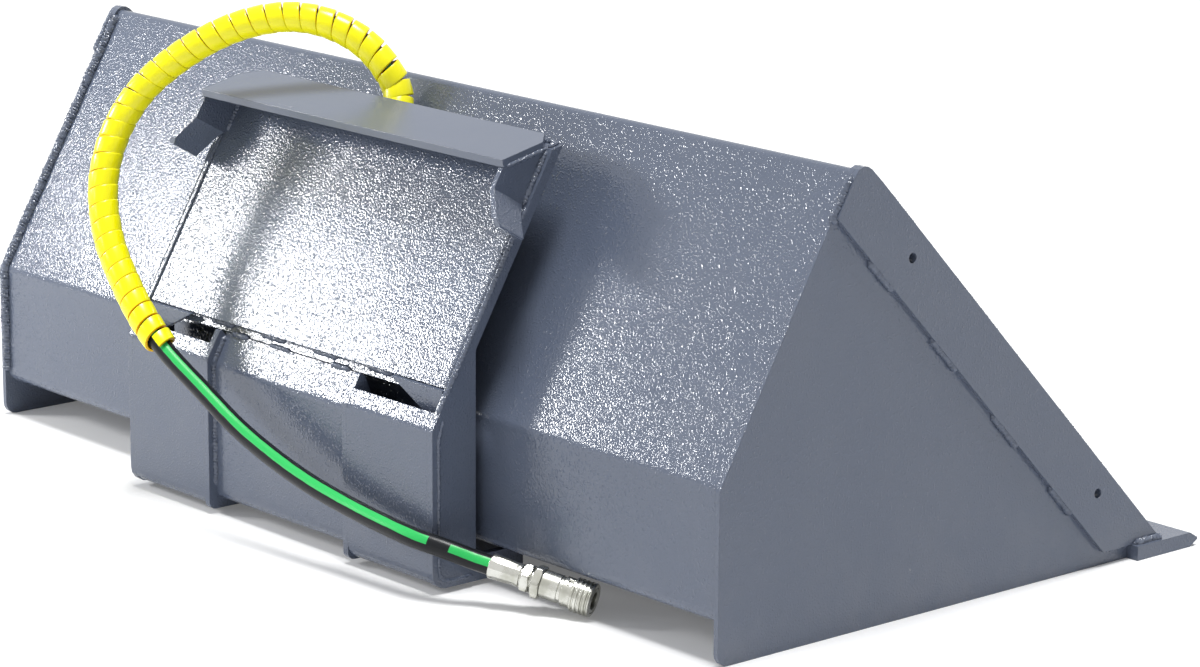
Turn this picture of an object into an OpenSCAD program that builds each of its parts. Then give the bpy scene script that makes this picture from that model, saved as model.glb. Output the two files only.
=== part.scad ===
// Self-dumping bucket for a small loader.
// A quick-attach frame carries two arms under the bucket's floor. The bucket is hinged on the arms,
// held shut by a hydraulic latch bolt behind its back, and tips over its front when the bolt is drawn.
// Model axes while drawing: X to the right, Y forward, Z up, with Y = 0 at the bucket's rear panel.

/* [Bucket] */
// Width over the two side plates
bucket_w = 1200; // [900:50:1500]
// Height of the side plates at the rear top corner
bucket_h = 458; // [400:1:500]
// Depth from the rear panel to the tip of the cutting edge
bucket_d = 643; // [600:5:720]
// Height at which the back starts to lean forward
kink_h = 170; // [150:2:190]
// Lean of the back from the vertical, in degrees
lean = 30.2; // [26:0.2:33]
// Height of the floor sheet above the ground
floor_lift = 38; // [37:1:46]
// Thickness of the bent shell
shell_t = 5; // [3:0.5:6]
// Inside radius of the shell's bends
shell_bend_r = 9; // [6:1:12]
// Inside radius of the fold along the top of the back
top_bend_r = 2; // [1:0.5:6]
// Length of the folded strip along the top of the back
top_fold = 32; // [24:1:40]

/* [Side plates] */
// Thickness of a side plate
side_t = 6; // [4:0.5:8]
// How far a side plate stands behind the shell
side_proud = 4; // [2:0.5:6]
// How far a side plate's top stands above the shell
top_proud = 9; // [3:0.5:12]
// Setback of the sloping front edge from the tip of the cutting edge, at the ground
front_setback = 33; // [26:1:40]
// Run of the sloping brow between the top corner and the mouth's line
brow_run = 26; // [20:1:40]
// Drop of the top edge from the rear corner to the front edge
brow_drop = 25; // [16:1:30]
// Radius of the side plates' rounded corners
side_r = 13; // [8:1:16]

/* [Cheek plates] */
// Thickness of a cheek plate
cheek_t = 6; // [4:0.5:8]
// Width of a cheek plate across the front edge
cheek_w = 60; // [50:1:70]
// Diameter of the bolt holes through cheek and side plate
cheek_hole_d = 10; // [8:0.5:12]
// Distance of the holes from the sloping front edge
cheek_hole_in = 24.5; // [20:0.5:28]
// Height of the lower hole
cheek_hole_low = 78; // [70:1:90]
// Height of the upper hole
cheek_hole_high = 355; // [320:1:358]

/* [Cutting edge] */
// Width of the bar, front to back
edge_w = 90; // [80:1:100]
// Thickness of the bar
edge_t = 15; // [10:0.5:16]
// Length of the two bevels
edge_bevel = 11; // [8:1:18]
// Thickness left at the tip
edge_tip = 2; // [1.5:0.5:4]
// How far the bar stands out beyond each side plate
edge_over = 15; // [9:1:20]

/* [Quick-attach frame] */
// Width over the frame's side plates
frame_w = 514; // [480:2:560]
// Distance from the bucket's rear panel to the back of the frame
frame_depth = 65; // [64:0.5:70]
// Clear gap between the coupler plate and the bucket's back
back_gap = 43.7; // [43:0.1:52]
// Height of the frame's underside above the ground
frame_lift = 5; // [4:0.5:7]
// Thickness of the frame's side plates
frame_side_t = 8; // [6:0.5:10]
// Radius of the rounded corners of the side plates and ribs
corner_r = 8; // [5:1:12]
// Length of the side plates' toe under the bucket's floor
toe_l = 60; // [40:5:80]
// Height of the toe's top above the ground
toe_top = 31; // [26:1:34]
// Thickness of the coupler plate
plate_t = 8; // [6:0.5:9]
// Distance up the slope from the kink to the coupler plate's lower edge
plate_low = 44; // [42:1:50]
// Distance up the slope from the kink to the coupler plate's upper edge
plate_high = 308; // [296:1:312]
// Length of the hook lip
lip_l = 62; // [55:1:66]
// Angle between the lip and a line square to the coupler plate, in degrees
lip_angle = 43; // [40:1:46]
// Thickness of the hook lip
lip_t = 8; // [6:0.5:10]
// Cut across the lip's two forward corners
lip_chamfer = 18; // [10:1:26]

/* [Guide ears] */
// Thickness of an ear
ear_t = 6; // [4:0.5:8]
// Depth of an ear off the coupler plate
ear_d = 42; // [36:1:46]
// Distance up the slope from the kink to the ear's fold
ear_fold = 238; // [232:1:244]
// Length of the flared part
ear_flare_l = 42; // [34:1:50]
// Outward angle of the flared part, in degrees
ear_flare = 37; // [30:1:42]
// Corner cut off the flared part
ear_chamfer = 5; // [3:1:14]

/* [Lower covers] */
// Thickness of the covers
cover_t = 6; // [4:0.5:8]
// Outside radius of the bend along the bottom
cover_bend_r = 14; // [10:1:18]
// Distance from the middle to each rib's outer face
rib_x = 122; // [112:1:130]
// Thickness of the ribs
rib_t = 8; // [6:0.5:10]
// How far the middle cover is set in
middle_in = 9; // [7:0.5:12]
// How far the middle cover's underside is above the outer ones
middle_up = 9; // [6:0.5:12]
// Distance up the slope from the kink to the top of the outer covers
outer_top = 18; // [15:1:22]
// Distance up the slope from the kink to the top of the middle cover
middle_top = 35; // [30:1:35]
// Width of the backing strip behind the coupler plate's lower edge
strip_w = 24; // [20:1:30]
// Thickness of the backing strip
strip_t = 6; // [4:0.5:7]
// Width of a corner gusset
gusset_w = 80; // [70:1:90]
// Height of a corner gusset
gusset_h = 40; // [34:1:44]

/* [Carrier arms and hinge] */
// Distance of the hinge axis from the rear panel
pivot_y = 330; // [300:5:360]
// Height of the hinge axis
pivot_z = 21; // [20:0.5:22]
// Distance from the middle to each arm
arm_x = 180; // [160:2:200]
// Thickness of an arm
arm_t = 12; // [10:1:14]
// Height of an arm
arm_h = 30; // [28:0.5:32]
// Width of the arm's upright inside the frame
upright_w = 44; // [40:1:45]
// Height of the arm's upright
upright_h = 140; // [120:2:146]
// Largest tipping angle, in degrees
tip_max = 60; // [50:1:65]
// Diameter of the pivot pins
pin_d = 16; // [14:1:18]
// Wall of the pivot bushes
bush_wall = 3; // [2:0.5:4]
// Thickness of a pivot lug
lug_t = 8; // [6:0.5:10]
// Outer radius of a pivot lug around its pin
lug_r = 15; // [13:0.5:16]

/* [Latch] */
// Distance up the slope from the bucket's kink to the bolt's axis
latch_s = 130; // [120:2:140]
// Diameter of the bolt
bolt_d = 20; // [16:1:22]
// Travel of the bolt
bolt_travel = 42; // [40:1:42]
// Length of the bolt
bolt_l = 74; // [74:1:78]
// Thickness of the two bolt guides
guide_t = 14; // [12:1:14]
// Thickness of the striker lug
striker_t = 16; // [14:1:16]
// Side gap between the striker lug and the guides
striker_gap = 6; // [5:0.5:6]
// Outer diameter of the latch cylinder
cyl_d = 34; // [30:1:36]
// Bore of the latch cylinder
cyl_bore = 24; // [20:1:25]
// Length of the latch cylinder
cyl_l = 114; // [110:1:124]
// Diameter of the piston rod
rod_d = 12; // [10:1:13]
// Wire of the return spring
spring_wire = 3; // [2:0.25:3.25]
// Turns of the return spring
spring_turns = 5; // [4:1:5]

/* [Hose] */
// Outer diameter of the hose
hose_d = 20; // [18:0.5:21]
// Outer diameter of the spiral guard
guard_d = 32; // [30:0.5:34]
// Turns of the spiral guard
guard_turns = 38; // [32:1:42]
// Diameter of the crimped ferrules
ferrule_d = 25; // [24:0.5:27]
// Width across the coupler's hexagons
hex_w = 27; // [25:0.5:28]
// Outer diameter of the coupler's sleeve
sleeve_d = 34; // [32:0.5:34]
// Travel of the coupler's sleeve
sleeve_travel = 3; // [2:0.5:4]
// Diameter of the coupler's mouth
mouth_d = 17; // [16:0.5:18]

/* [Hidden] */
$fn = 48;
paint = "#5b6373";
bare_steel = "silver";

// Clearances and overruns
air = 0.3;
running = 0.05;
cut = 1;
lean_cos_share = cos(lean);
lean_sin_share = sin(lean);
half = 0.5;

// Places that follow from the sizes
front_foot = bucket_d - front_setback;
edge_back = bucket_d - edge_w;
mid_y = (bucket_d - frame_depth) * half;
side_x = bucket_w * half;
inner_x = side_x - side_t;
frame_x = frame_w * half;
frame_in_x = frame_x - frame_side_t;
side_rear_top = [-side_proud + (bucket_h - kink_h) * tan(lean), bucket_h];
brow_z = bucket_h - brow_drop;
brow_y = side_rear_top.x + brow_run;
front_rake = atan2(brow_z, front_foot - brow_y);
function front_y(z) = front_foot - z / tan(front_rake);
function slope_y(z) = (z - kink_h) * tan(lean);

// Shell outline
shell_top_z = bucket_h - top_proud;
floor_bend_share = 0.67;
floor_bend_y = bucket_d * floor_bend_share;
floor_front_y = edge_back + edge_bevel;
floor_end_y = front_y(edge_t) - side_t;

// Where the frame starts to lean, so that its plate keeps the clear gap to the bucket's back
plate_in = 2;
strip_n = plate_in + plate_t;
frame_kink_h = kink_h + (back_gap + strip_n - frame_depth * lean_cos_share) / lean_sin_share;

// Draws in the frame with Y = 0 at the rear panel and puts the origin under the middle of the part
module placed() {
    translate([0, -mid_y, 0]) children();
}

// Local axes on the bucket's back: X across, Y square to it and forward, Z up the slope
module back_slope() {
    translate([0, 0, kink_h]) rotate([-lean, 0, 0]) children();
}

// Local axes on the rear line of the frame, parallel to the bucket's back
module frame_slope() {
    translate([0, -frame_depth, frame_kink_h]) rotate([-lean, 0, 0]) children();
}

// Local axes on the middle of the gap
module gap_slope() {
    back_slope() translate([0, -back_gap * half, 0]) children();
}

// Extrudes an outline drawn in Y and Z from X = 0 towards +X
module across(width) {
    rotate([90, 0, 90]) linear_extrude(width) children();
}

module left_hand() {
    mirror([1, 0, 0]) children();
}

// Points on a rounded corner between two lines that meet at b
function unit(v) = v / norm(v);
function corner(a, b, c, r, n) =
    let (u = unit(a - b), v = unit(c - b), h = acos(max(-1, min(1, u * v))) / 2, d = r / tan(h),
         m = unit(u + v), o = b + m * (r / sin(h)), s = b + u * d, e = b + v * d)
    [for (i = [0:n]) let (t = i / n, q = unit((s - o) * sin((1 - t) * (180 - 2 * h)) + (e - o) * sin(t * (180 - 2 * h)))) o + q * r];
function rounded(p, r, n) =
    [for (i = [0:len(p) - 1]) each (i == 0 || i == len(p) - 1) ? [p[i]] : corner(p[i - 1], p[i], p[i + 1], r[i], n)];

// A closed outline with every corner rounded
function closed(p, r, n) =
    [for (i = [0:len(p) - 1]) each corner(p[(i + len(p) - 1) % len(p)], p[i], p[(i + 1) % len(p)], r[i], n)];

// A strip of sheet along an open path, laid off to the left of it
function side_step(p, i) =
    let (a = i == 0 ? unit(p[1] - p[0]) : unit(p[i] - p[i - 1]),
         b = i == len(p) - 1 ? a : unit(p[i + 1] - p[i]),
         m = unit([-a.y, a.x] + [-b.y, b.x]))
    m / (m * [-a.y, a.x]);
function strip(p, t) = concat(p, [for (i = [len(p) - 1:-1:0]) p[i] + side_step(p, i) * t]);

// Bucket

// The shell's outer line, from the folded top down the back and along the floor
shell_path = [
    [slope_y(shell_top_z) + top_fold * cos(lean), shell_top_z - top_fold * sin(lean)],
    [slope_y(shell_top_z), shell_top_z],
    [0, kink_h],
    [0, floor_lift],
    [floor_bend_y, floor_lift],
    [floor_front_y, edge_t],
    [floor_end_y, edge_t]
];

shell_radii = [for (i = [0:len(shell_path) - 1]) shell_t + (i == 1 ? top_bend_r : shell_bend_r)];

module shell() {
    color(paint) placed() translate([-inner_x, 0, 0]) across(2 * inner_x)
        polygon(strip(rounded(shell_path, shell_radii, 5), shell_t));
}

side_outline = [
    [-side_proud, 0],
    [edge_back, 0],
    [edge_back, edge_t],
    [front_y(edge_t), edge_t],
    [front_y(brow_z), brow_z],
    side_rear_top,
    [-side_proud, kink_h - side_proud * tan(lean / 2)]
];
side_radii = [side_r, edge_tip / 4, edge_tip / 4, edge_tip, side_r, side_r, side_r];

// Bolt holes along the cheek, drilled through whatever is drawn
module cheek_holes() {
    inset = cheek_hole_in / sin(front_rake);
    for (z = [cheek_hole_low, cheek_hole_high])
        translate([inner_x - cut, front_y(z) - inset, z]) rotate([0, 90, 0])
            cylinder(d = cheek_hole_d, h = side_t + cheek_t + 2 * cut);
}

module side_plate() {
    difference() {
        translate([inner_x, 0, 0]) across(side_t) polygon(closed(side_outline, side_radii, 4));
        cheek_holes();
    }
}
module side_plate_right() { color(paint) placed() side_plate(); }
module side_plate_left() { color(paint) placed() left_hand() side_plate(); }

// The cheek follows the side plate's outline and ends on a line along its sloping edge
module cheek() {
    back = cheek_w / sin(front_rake);
    side_slope = [for (z = [edge_t, bucket_h]) [front_y(z) - back, z]];
    difference() {
        translate([side_x, 0, 0]) across(cheek_t) intersection() {
            polygon(closed(side_outline, side_radii, 4));
            polygon([side_slope[0], [front_foot, edge_t], [front_foot, bucket_h], side_slope[1]]);
        }
        cheek_holes();
    }
}
module cheek_right() { color(paint) placed() cheek(); }
module cheek_left() { color(paint) placed() left_hand() cheek(); }

module cutting_edge() {
    color(paint) placed() translate([-side_x - edge_over, 0, 0]) across(2 * (side_x + edge_over))
        polygon([
            [edge_back, 0], [bucket_d - edge_bevel, 0], [bucket_d, (edge_t - edge_tip) * half],
            [bucket_d, (edge_t + edge_tip) * half], [bucket_d - edge_bevel, edge_t], [edge_back, edge_t]
        ]);
}

// Hinge under the floor

bush_proud = lug_t / 8;
lug_in = arm_t / 2 + bush_proud + air;
pin_grip = 2 * (lug_in + lug_t);
pin_head_t = lug_t / 2;
pin_head_d = pin_d + lug_t;
pin_tail = lug_t * 0.9;
split_d = pin_d / 5;
split_l = pin_d * 1.4;

// Local axes on the hinge of one arm, X outwards
module at_pivot(side) {
    mirror([side < 0 ? 1 : 0, 0, 0]) translate([arm_x, pivot_y, pivot_z]) children();
}

module lug_outline() {
    spread = lug_r * 2;
    rise = floor_lift - pivot_z;
    circle(r = lug_r);
    polygon([[-lug_r, 0], [lug_r, 0], [spread, rise], [-spread, rise]]);
}

module pivot_lugs(side) {
    color(paint) placed() at_pivot(side) difference() {
        for (x = [lug_in, -lug_in - lug_t]) translate([x, 0, 0]) across(lug_t) lug_outline();
        translate([-pin_grip, 0, 0]) rotate([0, 90, 0]) cylinder(d = pin_d + 2 * running, h = 2 * pin_grip);
    }
}
module pivot_lugs_right() { pivot_lugs(1); }
module pivot_lugs_left() { pivot_lugs(-1); }

module pivot_pin(side) {
    color(bare_steel) placed() at_pivot(side) difference() {
        rotate([0, 90, 0]) union() {
            translate([0, 0, -pin_grip / 2 - pin_tail]) cylinder(d = pin_d, h = pin_grip + pin_tail + air + pin_head_t / 2);
            translate([0, 0, pin_grip / 2 + air]) cylinder(d = pin_head_d, h = pin_head_t);
        }
        split_place() cylinder(d = split_d + 2 * running, h = 2 * pin_d, center = true);
    }
}
module pivot_pin_right() { pivot_pin(1); }
module pivot_pin_left() { pivot_pin(-1); }

module split_place() {
    translate([-pin_grip / 2 - air - split_d / 2 - running, 0, 0]) children();
}

module split_pins() {
    color(bare_steel) placed() for (side = [-1, 1]) at_pivot(side) split_place() {
        translate([0, 0, -split_l / 2]) cylinder(d = split_d, h = split_l);
        translate([0, 0, split_l / 2]) rotate([0, 90, 0]) difference() {
            translate([0, 0, -split_d / 4]) cylinder(d = 2 * split_d, h = split_d / 2);
            translate([0, 0, -split_d]) cylinder(d = split_d, h = 2 * split_d);
        }
    }
}

// Carrier arms: an upright inside the frame, a leg under the floor and an eye with a stop toe.
// The toe's face lies flat against the floor when the bucket is tipped as far as it goes.
arm_top = pivot_z + arm_h / 2;
arm_low = pivot_z - arm_h / 2;
arm_rear = -frame_depth + cover_t;
flange_top = frame_lift + edge_tip + cover_t + air;
shell_margin = 4 * air;
stop_share = 0.1;
eye_share = 0.9;
module arm_outline() {
    difference() {
        arm_shape();
        translate([arm_rear - cut, 0]) square([frame_front - arm_rear + cut, flange_top]);
    }
}
module arm_shape() {
    floor_gap = floor_lift - pivot_z - shell_margin;
    toe_low = [(floor_gap + arm_h / 2 * cos(tip_max)) / sin(tip_max), -arm_h / 2];
    toe_up = [(floor_gap + stop_share * arm_h * cos(tip_max)) / sin(tip_max), -stop_share * arm_h];
    translate([pivot_y, pivot_z]) {
        circle(d = arm_h);
        polygon([[0, -arm_h / 2], toe_low, toe_up, [0, arm_h / 2 * eye_share]]);
    }
    polygon([
        [arm_rear, flange_top + cover_bend_r], [arm_rear + cover_bend_r, flange_top],
        [arm_rear + 2 * cover_bend_r, arm_low], [pivot_y, arm_low], [pivot_y, arm_top],
        [arm_rear + upright_w + 2 * corner_r, arm_top], [arm_rear + upright_w, arm_top + 2 * corner_r],
        [arm_rear + upright_w, arm_top + upright_h - arm_h], [arm_rear, arm_top + upright_h - arm_h]
    ]);
}

bush_d = pin_d + 2 * running + 2 * bush_wall;
module arm(side) {
    color(paint) placed() difference() {
        mirror([side < 0 ? 1 : 0, 0, 0]) translate([arm_x - arm_t / 2, 0, 0]) across(arm_t) arm_outline();
        at_pivot(side) translate([-arm_t, 0, 0]) rotate([0, 90, 0]) cylinder(d = bush_d + 2 * running, h = 2 * arm_t);
    }
}
module arm_right() { arm(1); }
module arm_left() { arm(-1); }

module pivot_bush(side) {
    bush_l = arm_t + 2 * bush_proud;
    color("peru") placed() at_pivot(side) translate([-bush_l / 2, 0, 0]) rotate([0, 90, 0]) difference() {
        cylinder(d = bush_d, h = bush_l);
        translate([0, 0, -cut]) cylinder(d = pin_d + 2 * running, h = bush_l + 2 * cut);
    }
}
module pivot_bush_right() { pivot_bush(1); }
module pivot_bush_left() { pivot_bush(-1); }

// Quick-attach frame

front_gap_share = 0.17;
frame_front = -frame_depth * front_gap_share;
function under_lip(n) = plate_high - (strip_n - n) * tan(lip_angle);
function frame_line(s, n) = [-frame_depth + n * lean_cos_share + s * lean_sin_share, frame_kink_h - n * lean_sin_share + s * lean_cos_share];

// Where the front line of the slope meets the upright front edge
neck_s = (frame_front + frame_depth - strip_n * lean_cos_share) / lean_sin_share;
module frame_side_outline() {
    toe_end = frame_front + toe_l;
    pts = [
        [-frame_depth, frame_lift], [toe_end, frame_lift], [toe_end, toe_top], [frame_front, toe_top], frame_line(neck_s, strip_n),
        frame_line(plate_high, strip_n), frame_line(under_lip(0), 0), [-frame_depth, frame_kink_h]
    ];
    polygon(closed(pts, [2 * corner_r, corner_r, corner_r, corner_r / 2, corner_r, edge_tip / 4, edge_tip / 4, corner_r], 4));
}
module frame_side() {
    translate([frame_in_x, 0, 0]) across(frame_side_t) frame_side_outline();
}
module frame_side_right() { color(paint) placed() frame_side(); }
module frame_side_left() { color(paint) placed() left_hand() frame_side(); }

module coupler_plate() {
    color(paint) placed() frame_slope() translate([-frame_in_x, 0, 0]) across(2 * frame_in_x) polygon([
        [plate_in, plate_low], [strip_n, plate_low], [strip_n, plate_high], [plate_in, under_lip(plate_in)]
    ]);
}

module backing_strip() {
    show_share = 0.33;
    color(paint) placed() frame_slope() translate([-frame_in_x, strip_n, plate_low - strip_w * show_share])
        cube([2 * frame_in_x, strip_t, strip_w]);
}

// The lip leans back over the plate's top, with its two forward corners cut
module hook_lip() {
    color(paint) placed() frame_slope() translate([0, strip_n, plate_high]) rotate([lip_angle, 0, 0])
        translate([0, -lip_l - plate_t, 0]) linear_extrude(lip_t)
            polygon([
                [-frame_in_x, 0], [frame_in_x, 0], [frame_in_x, lip_l + plate_t - lip_chamfer],
                [frame_in_x - lip_chamfer, lip_l + plate_t], [lip_chamfer - frame_in_x, lip_l + plate_t],
                [-frame_in_x, lip_l + plate_t - lip_chamfer]
            ]);
}

// An ear closes the corner under the lip and flares outwards below its fold
ear_back = ear_d * 0.1;
ear_inner_x = frame_in_x - 2 * ear_t;
module ear() {
    foot = ear_fold - ear_flare_l * cos(ear_flare);
    sheet = [[frame_in_x + ear_flare_l * sin(ear_flare), foot], [frame_in_x, ear_fold], [frame_in_x, plate_high]];
    frame_slope() intersection() {
        translate([0, plate_in, 0]) rotate([90, 0, 0]) linear_extrude(ear_d + plate_in) polygon(strip(sheet, ear_t));
        translate([ear_inner_x, 0, 0]) across(2 * ear_d) polygon([
            [-ear_back, foot - cut], [-ear_back, ear_fold - 2 * ear_chamfer], [-air, ear_fold - air], [plate_in, ear_fold],
            [plate_in, under_lip(plate_in)], [-ear_d, under_lip(-ear_d)],
            [-ear_d, foot + ear_chamfer], [ear_chamfer - ear_d, foot - cut]
        ]);
    }
}
module ear_right() { color(paint) placed() ear(); }
module ear_left() { color(paint) placed() left_hand() ear(); }

// Lower covers: bent sheets that close the frame's box below the coupler plate
module cover(x, w, n, low, top) {
    path = [
        frame_line(top, n), frame_line(0, n) + [0, -n * tan(lean / 2)],
        [-frame_depth + n, low], [frame_front - cover_t, low]
    ];
    color(paint) placed() translate([x, 0, 0]) across(w) polygon(strip(rounded(path, [for (q = path) cover_bend_r], 5), cover_t));
}
module cover_left() { cover(-frame_in_x, frame_in_x - rib_x, 0, frame_lift + edge_tip, outer_top); }
module cover_right() { cover(rib_x, frame_in_x - rib_x, 0, frame_lift + edge_tip, outer_top); }
module cover_middle() {
    w = 2 * (rib_x - rib_t);
    cover(-w / 2, w, middle_in, frame_lift + middle_up, middle_top);
}

module rib() {
    pts = [
        [-frame_depth, frame_lift], [frame_front - cover_t, frame_lift], frame_line(plate_low / 2, strip_n + 2 * strip_t),
        frame_line(plate_low - strip_w / 2, strip_n - cut / 2), frame_line(middle_top, 0), [-frame_depth, frame_kink_h]
    ];
    translate([rib_x - rib_t, 0, 0]) across(rib_t)
        polygon(closed(pts, [corner_r, corner_r, edge_tip, edge_tip, edge_tip, corner_r], 4));
}
module rib_right() { color(paint) placed() rib(); }
module rib_left() { color(paint) placed() left_hand() rib(); }

// An upright triangle in the corner between the coupler plate, the frame's side and the outer cover
module gusset() {
    top = frame_line(plate_low, strip_n);
    translate([frame_in_x, top.x - strip_t, top.y + strip_t / 2]) rotate([90, 0, 0]) linear_extrude(strip_t)
        polygon([[0, 0], [-gusset_w, 0], [0, -gusset_h]]);
}
module gusset_right() { color(paint) placed() gusset(); }
module gusset_left() { color(paint) placed() left_hand() gusset(); }

// Latch, drawn with the bolt pulled back

gland_x = bolt_d * 0.6;
cyl_rear = gland_x - cyl_l;
gland_t = rod_d;
piston_t = rod_d * 1.2;
spring_room = bolt_d * 1.2;
bolt_rear = gland_x + spring_room;
bolt_tip = bolt_rear + bolt_l;
guide_near = bolt_tip - edge_tip - guide_t;
striker_near = guide_near + guide_t + striker_gap;
guide_far = striker_near + striker_t + striker_gap;
guide_r = bolt_d * 0.8;
guide_foot_r = guide_r * 1.3;
port_x = gland_x - gland_t - rod_d * 0.8;
port_d = rod_d * 0.7;

// Draws along X on the bolt's axis, from x onwards
module bolt_axis(x) {
    gap_slope() translate([x, 0, latch_s]) rotate([0, 90, 0]) children();
}

// A plate from the bolt's axis to a sheet on one side of the gap, with a hole for the bolt
module bolt_plate(x, t, reach, hole) {
    difference() {
        gap_slope() translate([x, 0, latch_s]) across(t) {
            circle(r = guide_r);
            polygon([[0, -guide_r], [reach, -guide_foot_r], [reach, guide_foot_r], [0, guide_r]]);
        }
        bolt_axis(x - cut) cylinder(d = hole, h = t + 2 * cut);
    }
}

module bolt_guides() {
    color(paint) placed() for (x = [guide_near, guide_far]) bolt_plate(x, guide_t, -back_gap / 2, bolt_d + 2 * running);
}
module striker_lug() {
    color(paint) placed() bolt_plate(striker_near, striker_t, back_gap / 2, bolt_d + 4 * air);
}

module latch_bolt() {
    nose = bolt_d * 0.15;
    color(bare_steel) placed() bolt_axis(bolt_rear) union() {
        cylinder(d = bolt_d, h = bolt_l - nose);
        translate([0, 0, bolt_l - nose]) cylinder(d1 = bolt_d, d2 = bolt_d - 2 * nose, h = nose);
    }
}

module piston_rod() {
    piston_x = cyl_rear + gland_t * 0.8;
    color(bare_steel) placed() {
        bolt_axis(piston_x) cylinder(d = cyl_bore - 4 * running, h = piston_t);
        bolt_axis(piston_x + piston_t / 2) cylinder(d = rod_d, h = bolt_rear - piston_x - piston_t / 2);
    }
}

module latch_cylinder() {
    wall_end = gland_t / 2;
    color(paint) placed() difference() {
        bolt_axis(cyl_rear) cylinder(d = cyl_d, h = cyl_l);
        bolt_axis(cyl_rear + wall_end) cylinder(d = cyl_bore, h = cyl_l - wall_end - gland_t);
        bolt_axis(gland_x - 2 * gland_t) cylinder(d = rod_d + 4 * running, h = 3 * gland_t);
        gap_slope() translate([port_x, 0, latch_s]) cylinder(d = port_d, h = cyl_d);
    }
}

// The saddle holds the cylinder off the coupler plate
module cylinder_saddle() {
    saddle_w = cyl_l * 0.22;
    color(paint) placed() difference() {
        for (x = [cyl_rear + gland_t, gland_x - gland_t - saddle_w - cyl_bore])
            gap_slope() translate([x, -back_gap / 2, latch_s - cyl_d / 2]) cube([saddle_w, back_gap / 2, cyl_d]);
        bolt_axis(cyl_rear - cut) cylinder(d = cyl_d + 2 * air, h = cyl_l + 2 * cut);
    }
}

// Return spring, squeezed short because the bolt is drawn back
spring_r = rod_d / 2 + spring_wire / 2 + 2 * air + spring_wire / 3;
spring_h = spring_room - 2 * air;
spring_steps = 8;
function spring_mid(k) = let (t = k / (spring_turns * spring_steps))
    [spring_r * cos(360 * spring_turns * t), spring_r * sin(360 * spring_turns * t), air + spring_wire / 2 + (spring_h - spring_wire) * t];

module return_spring() {
    n = spring_turns * spring_steps;
    color(bare_steel) placed() bolt_axis(gland_x) tube([for (k = [0:n]) spring_mid(k)], spring_wire / 2, 6);
}

// Least gap between one turn of the spring and the next
spring_self_gap = min([for (k = [0:spring_turns * spring_steps - spring_steps])
    norm(spring_mid(k + spring_steps) - spring_mid(k))]) - spring_wire;
echo(spring_self_gap = spring_self_gap);

// Sweeps a tube of n sides along points, with its ring turned as little as possible from one point to the next
function way(p, i) = unit((i == len(p) - 1 ? p[i] : p[i + 1]) - (i == 0 ? p[0] : p[i - 1]));
function first_side(d) = unit(cross(d, abs(d.z) < 0.9 ? [0, 0, 1] : [1, 0, 0]));
function sides(p) = [for (i = 0, a = first_side(way(p, 0)); i < len(p);
    i = i + 1, a = i < len(p) ? unit(a - way(p, i) * (a * way(p, i))) : a) a];
function ring(c, d, a, r, n) = let (b = cross(d, a)) [for (k = [0:n - 1]) c + (a * cos(360 * k / n) + b * sin(360 * k / n)) * r];
function skin(rows, n, flip) = [for (i = [0:rows - 2], k = [0:n - 1])
    let (a = i * n + k, b = i * n + (k + 1) % n, c = a + n, d = b + n) each flip ? [[a, b, c], [b, d, c]] : [[a, c, b], [b, c, d]]];

module tube(p, r, n) {
    a = sides(p);
    rows = len(p);
    pts = [for (i = [0:rows - 1]) each ring(p[i], way(p, i), a[i], r, n)];
    first = [for (k = [1:n - 2]) [0, k, k + 1]];
    last = [for (k = [1:n - 2]) [(rows - 1) * n, (rows - 1) * n + k + 1, (rows - 1) * n + k]];
    polyhedron(points = pts, faces = concat(skin(rows, n, false), first, last), convexity = 6);
}

// Hose

adapter_l = hose_d * 1.4;
ferrule_l = hose_d * 1.9;
hose_exit_s = latch_s + cyl_d / 2 + adapter_l + ferrule_l;
hose_start = [port_x, (-back_gap / 2) * lean_cos_share + hose_exit_s * lean_sin_share,
    kink_h + back_gap / 2 * lean_sin_share + hose_exit_s * lean_cos_share];
hose_out = [0, lean_sin_share, lean_cos_share];

module hose_adapter() {
    hex_share = 0.6;
    hex_from = edge_tip + adapter_l * 0.2;
    neck = hose_d * 0.8;
    color("gainsboro") placed() difference() {
        gap_slope() translate([port_x, 0, latch_s + cyl_d / 2 - edge_tip]) difference() {
            union() {
                cylinder(d = neck, h = adapter_l + edge_tip);
                translate([0, 0, hex_from]) cylinder(d = hex_w, h = adapter_l * hex_share, $fn = 6);
            }
            translate([0, 0, -cut]) cylinder(d = port_d, h = adapter_l + edge_tip + 2 * cut);
        }
        bolt_axis(cyl_rear) cylinder(d = cyl_d + 2 * air, h = cyl_l);
    }
}

module inlet_ferrule() {
    color("gainsboro") placed() gap_slope() translate([port_x, 0, latch_s + cyl_d / 2 + adapter_l]) cylinder(d = ferrule_d, h = ferrule_l);
}

// The hose's route beyond its straight start, chosen by hand
hose_route = [
    [-36, 125, 428], [-52, 123, 456], [-78, 112, 482], [-111, 93, 499], [-146, 70, 504], [-181, 42, 496], [-213, 14, 478],
    [-242, -13, 452], [-262, -38, 423], [-272, -60, 388], [-270, -79, 350], [-258, -92, 312], [-233, -101, 272], [-200, -105, 236],
    [-167, -106, 205], [-131, -104, 177], [-73, -100, 146], [-19, -97, 119], [35, -94, 99], [89, -91, 84], [140, -88, 74],
    [192, -86, 67], [244, -82, 61], [279, -68, 54]
];
coupler_start = [319, -42, 41];
coupler_end = [411, 9, 17.5];
coupler_way = unit(coupler_end - coupler_start);
hose_points = concat(
    [for (k = [0:2]) hose_start + hose_out * hose_d * k / 2], hose_route,
    [for (k = [2:-1:0]) coupler_start - coupler_way * hose_d * k / 2]
);

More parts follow.
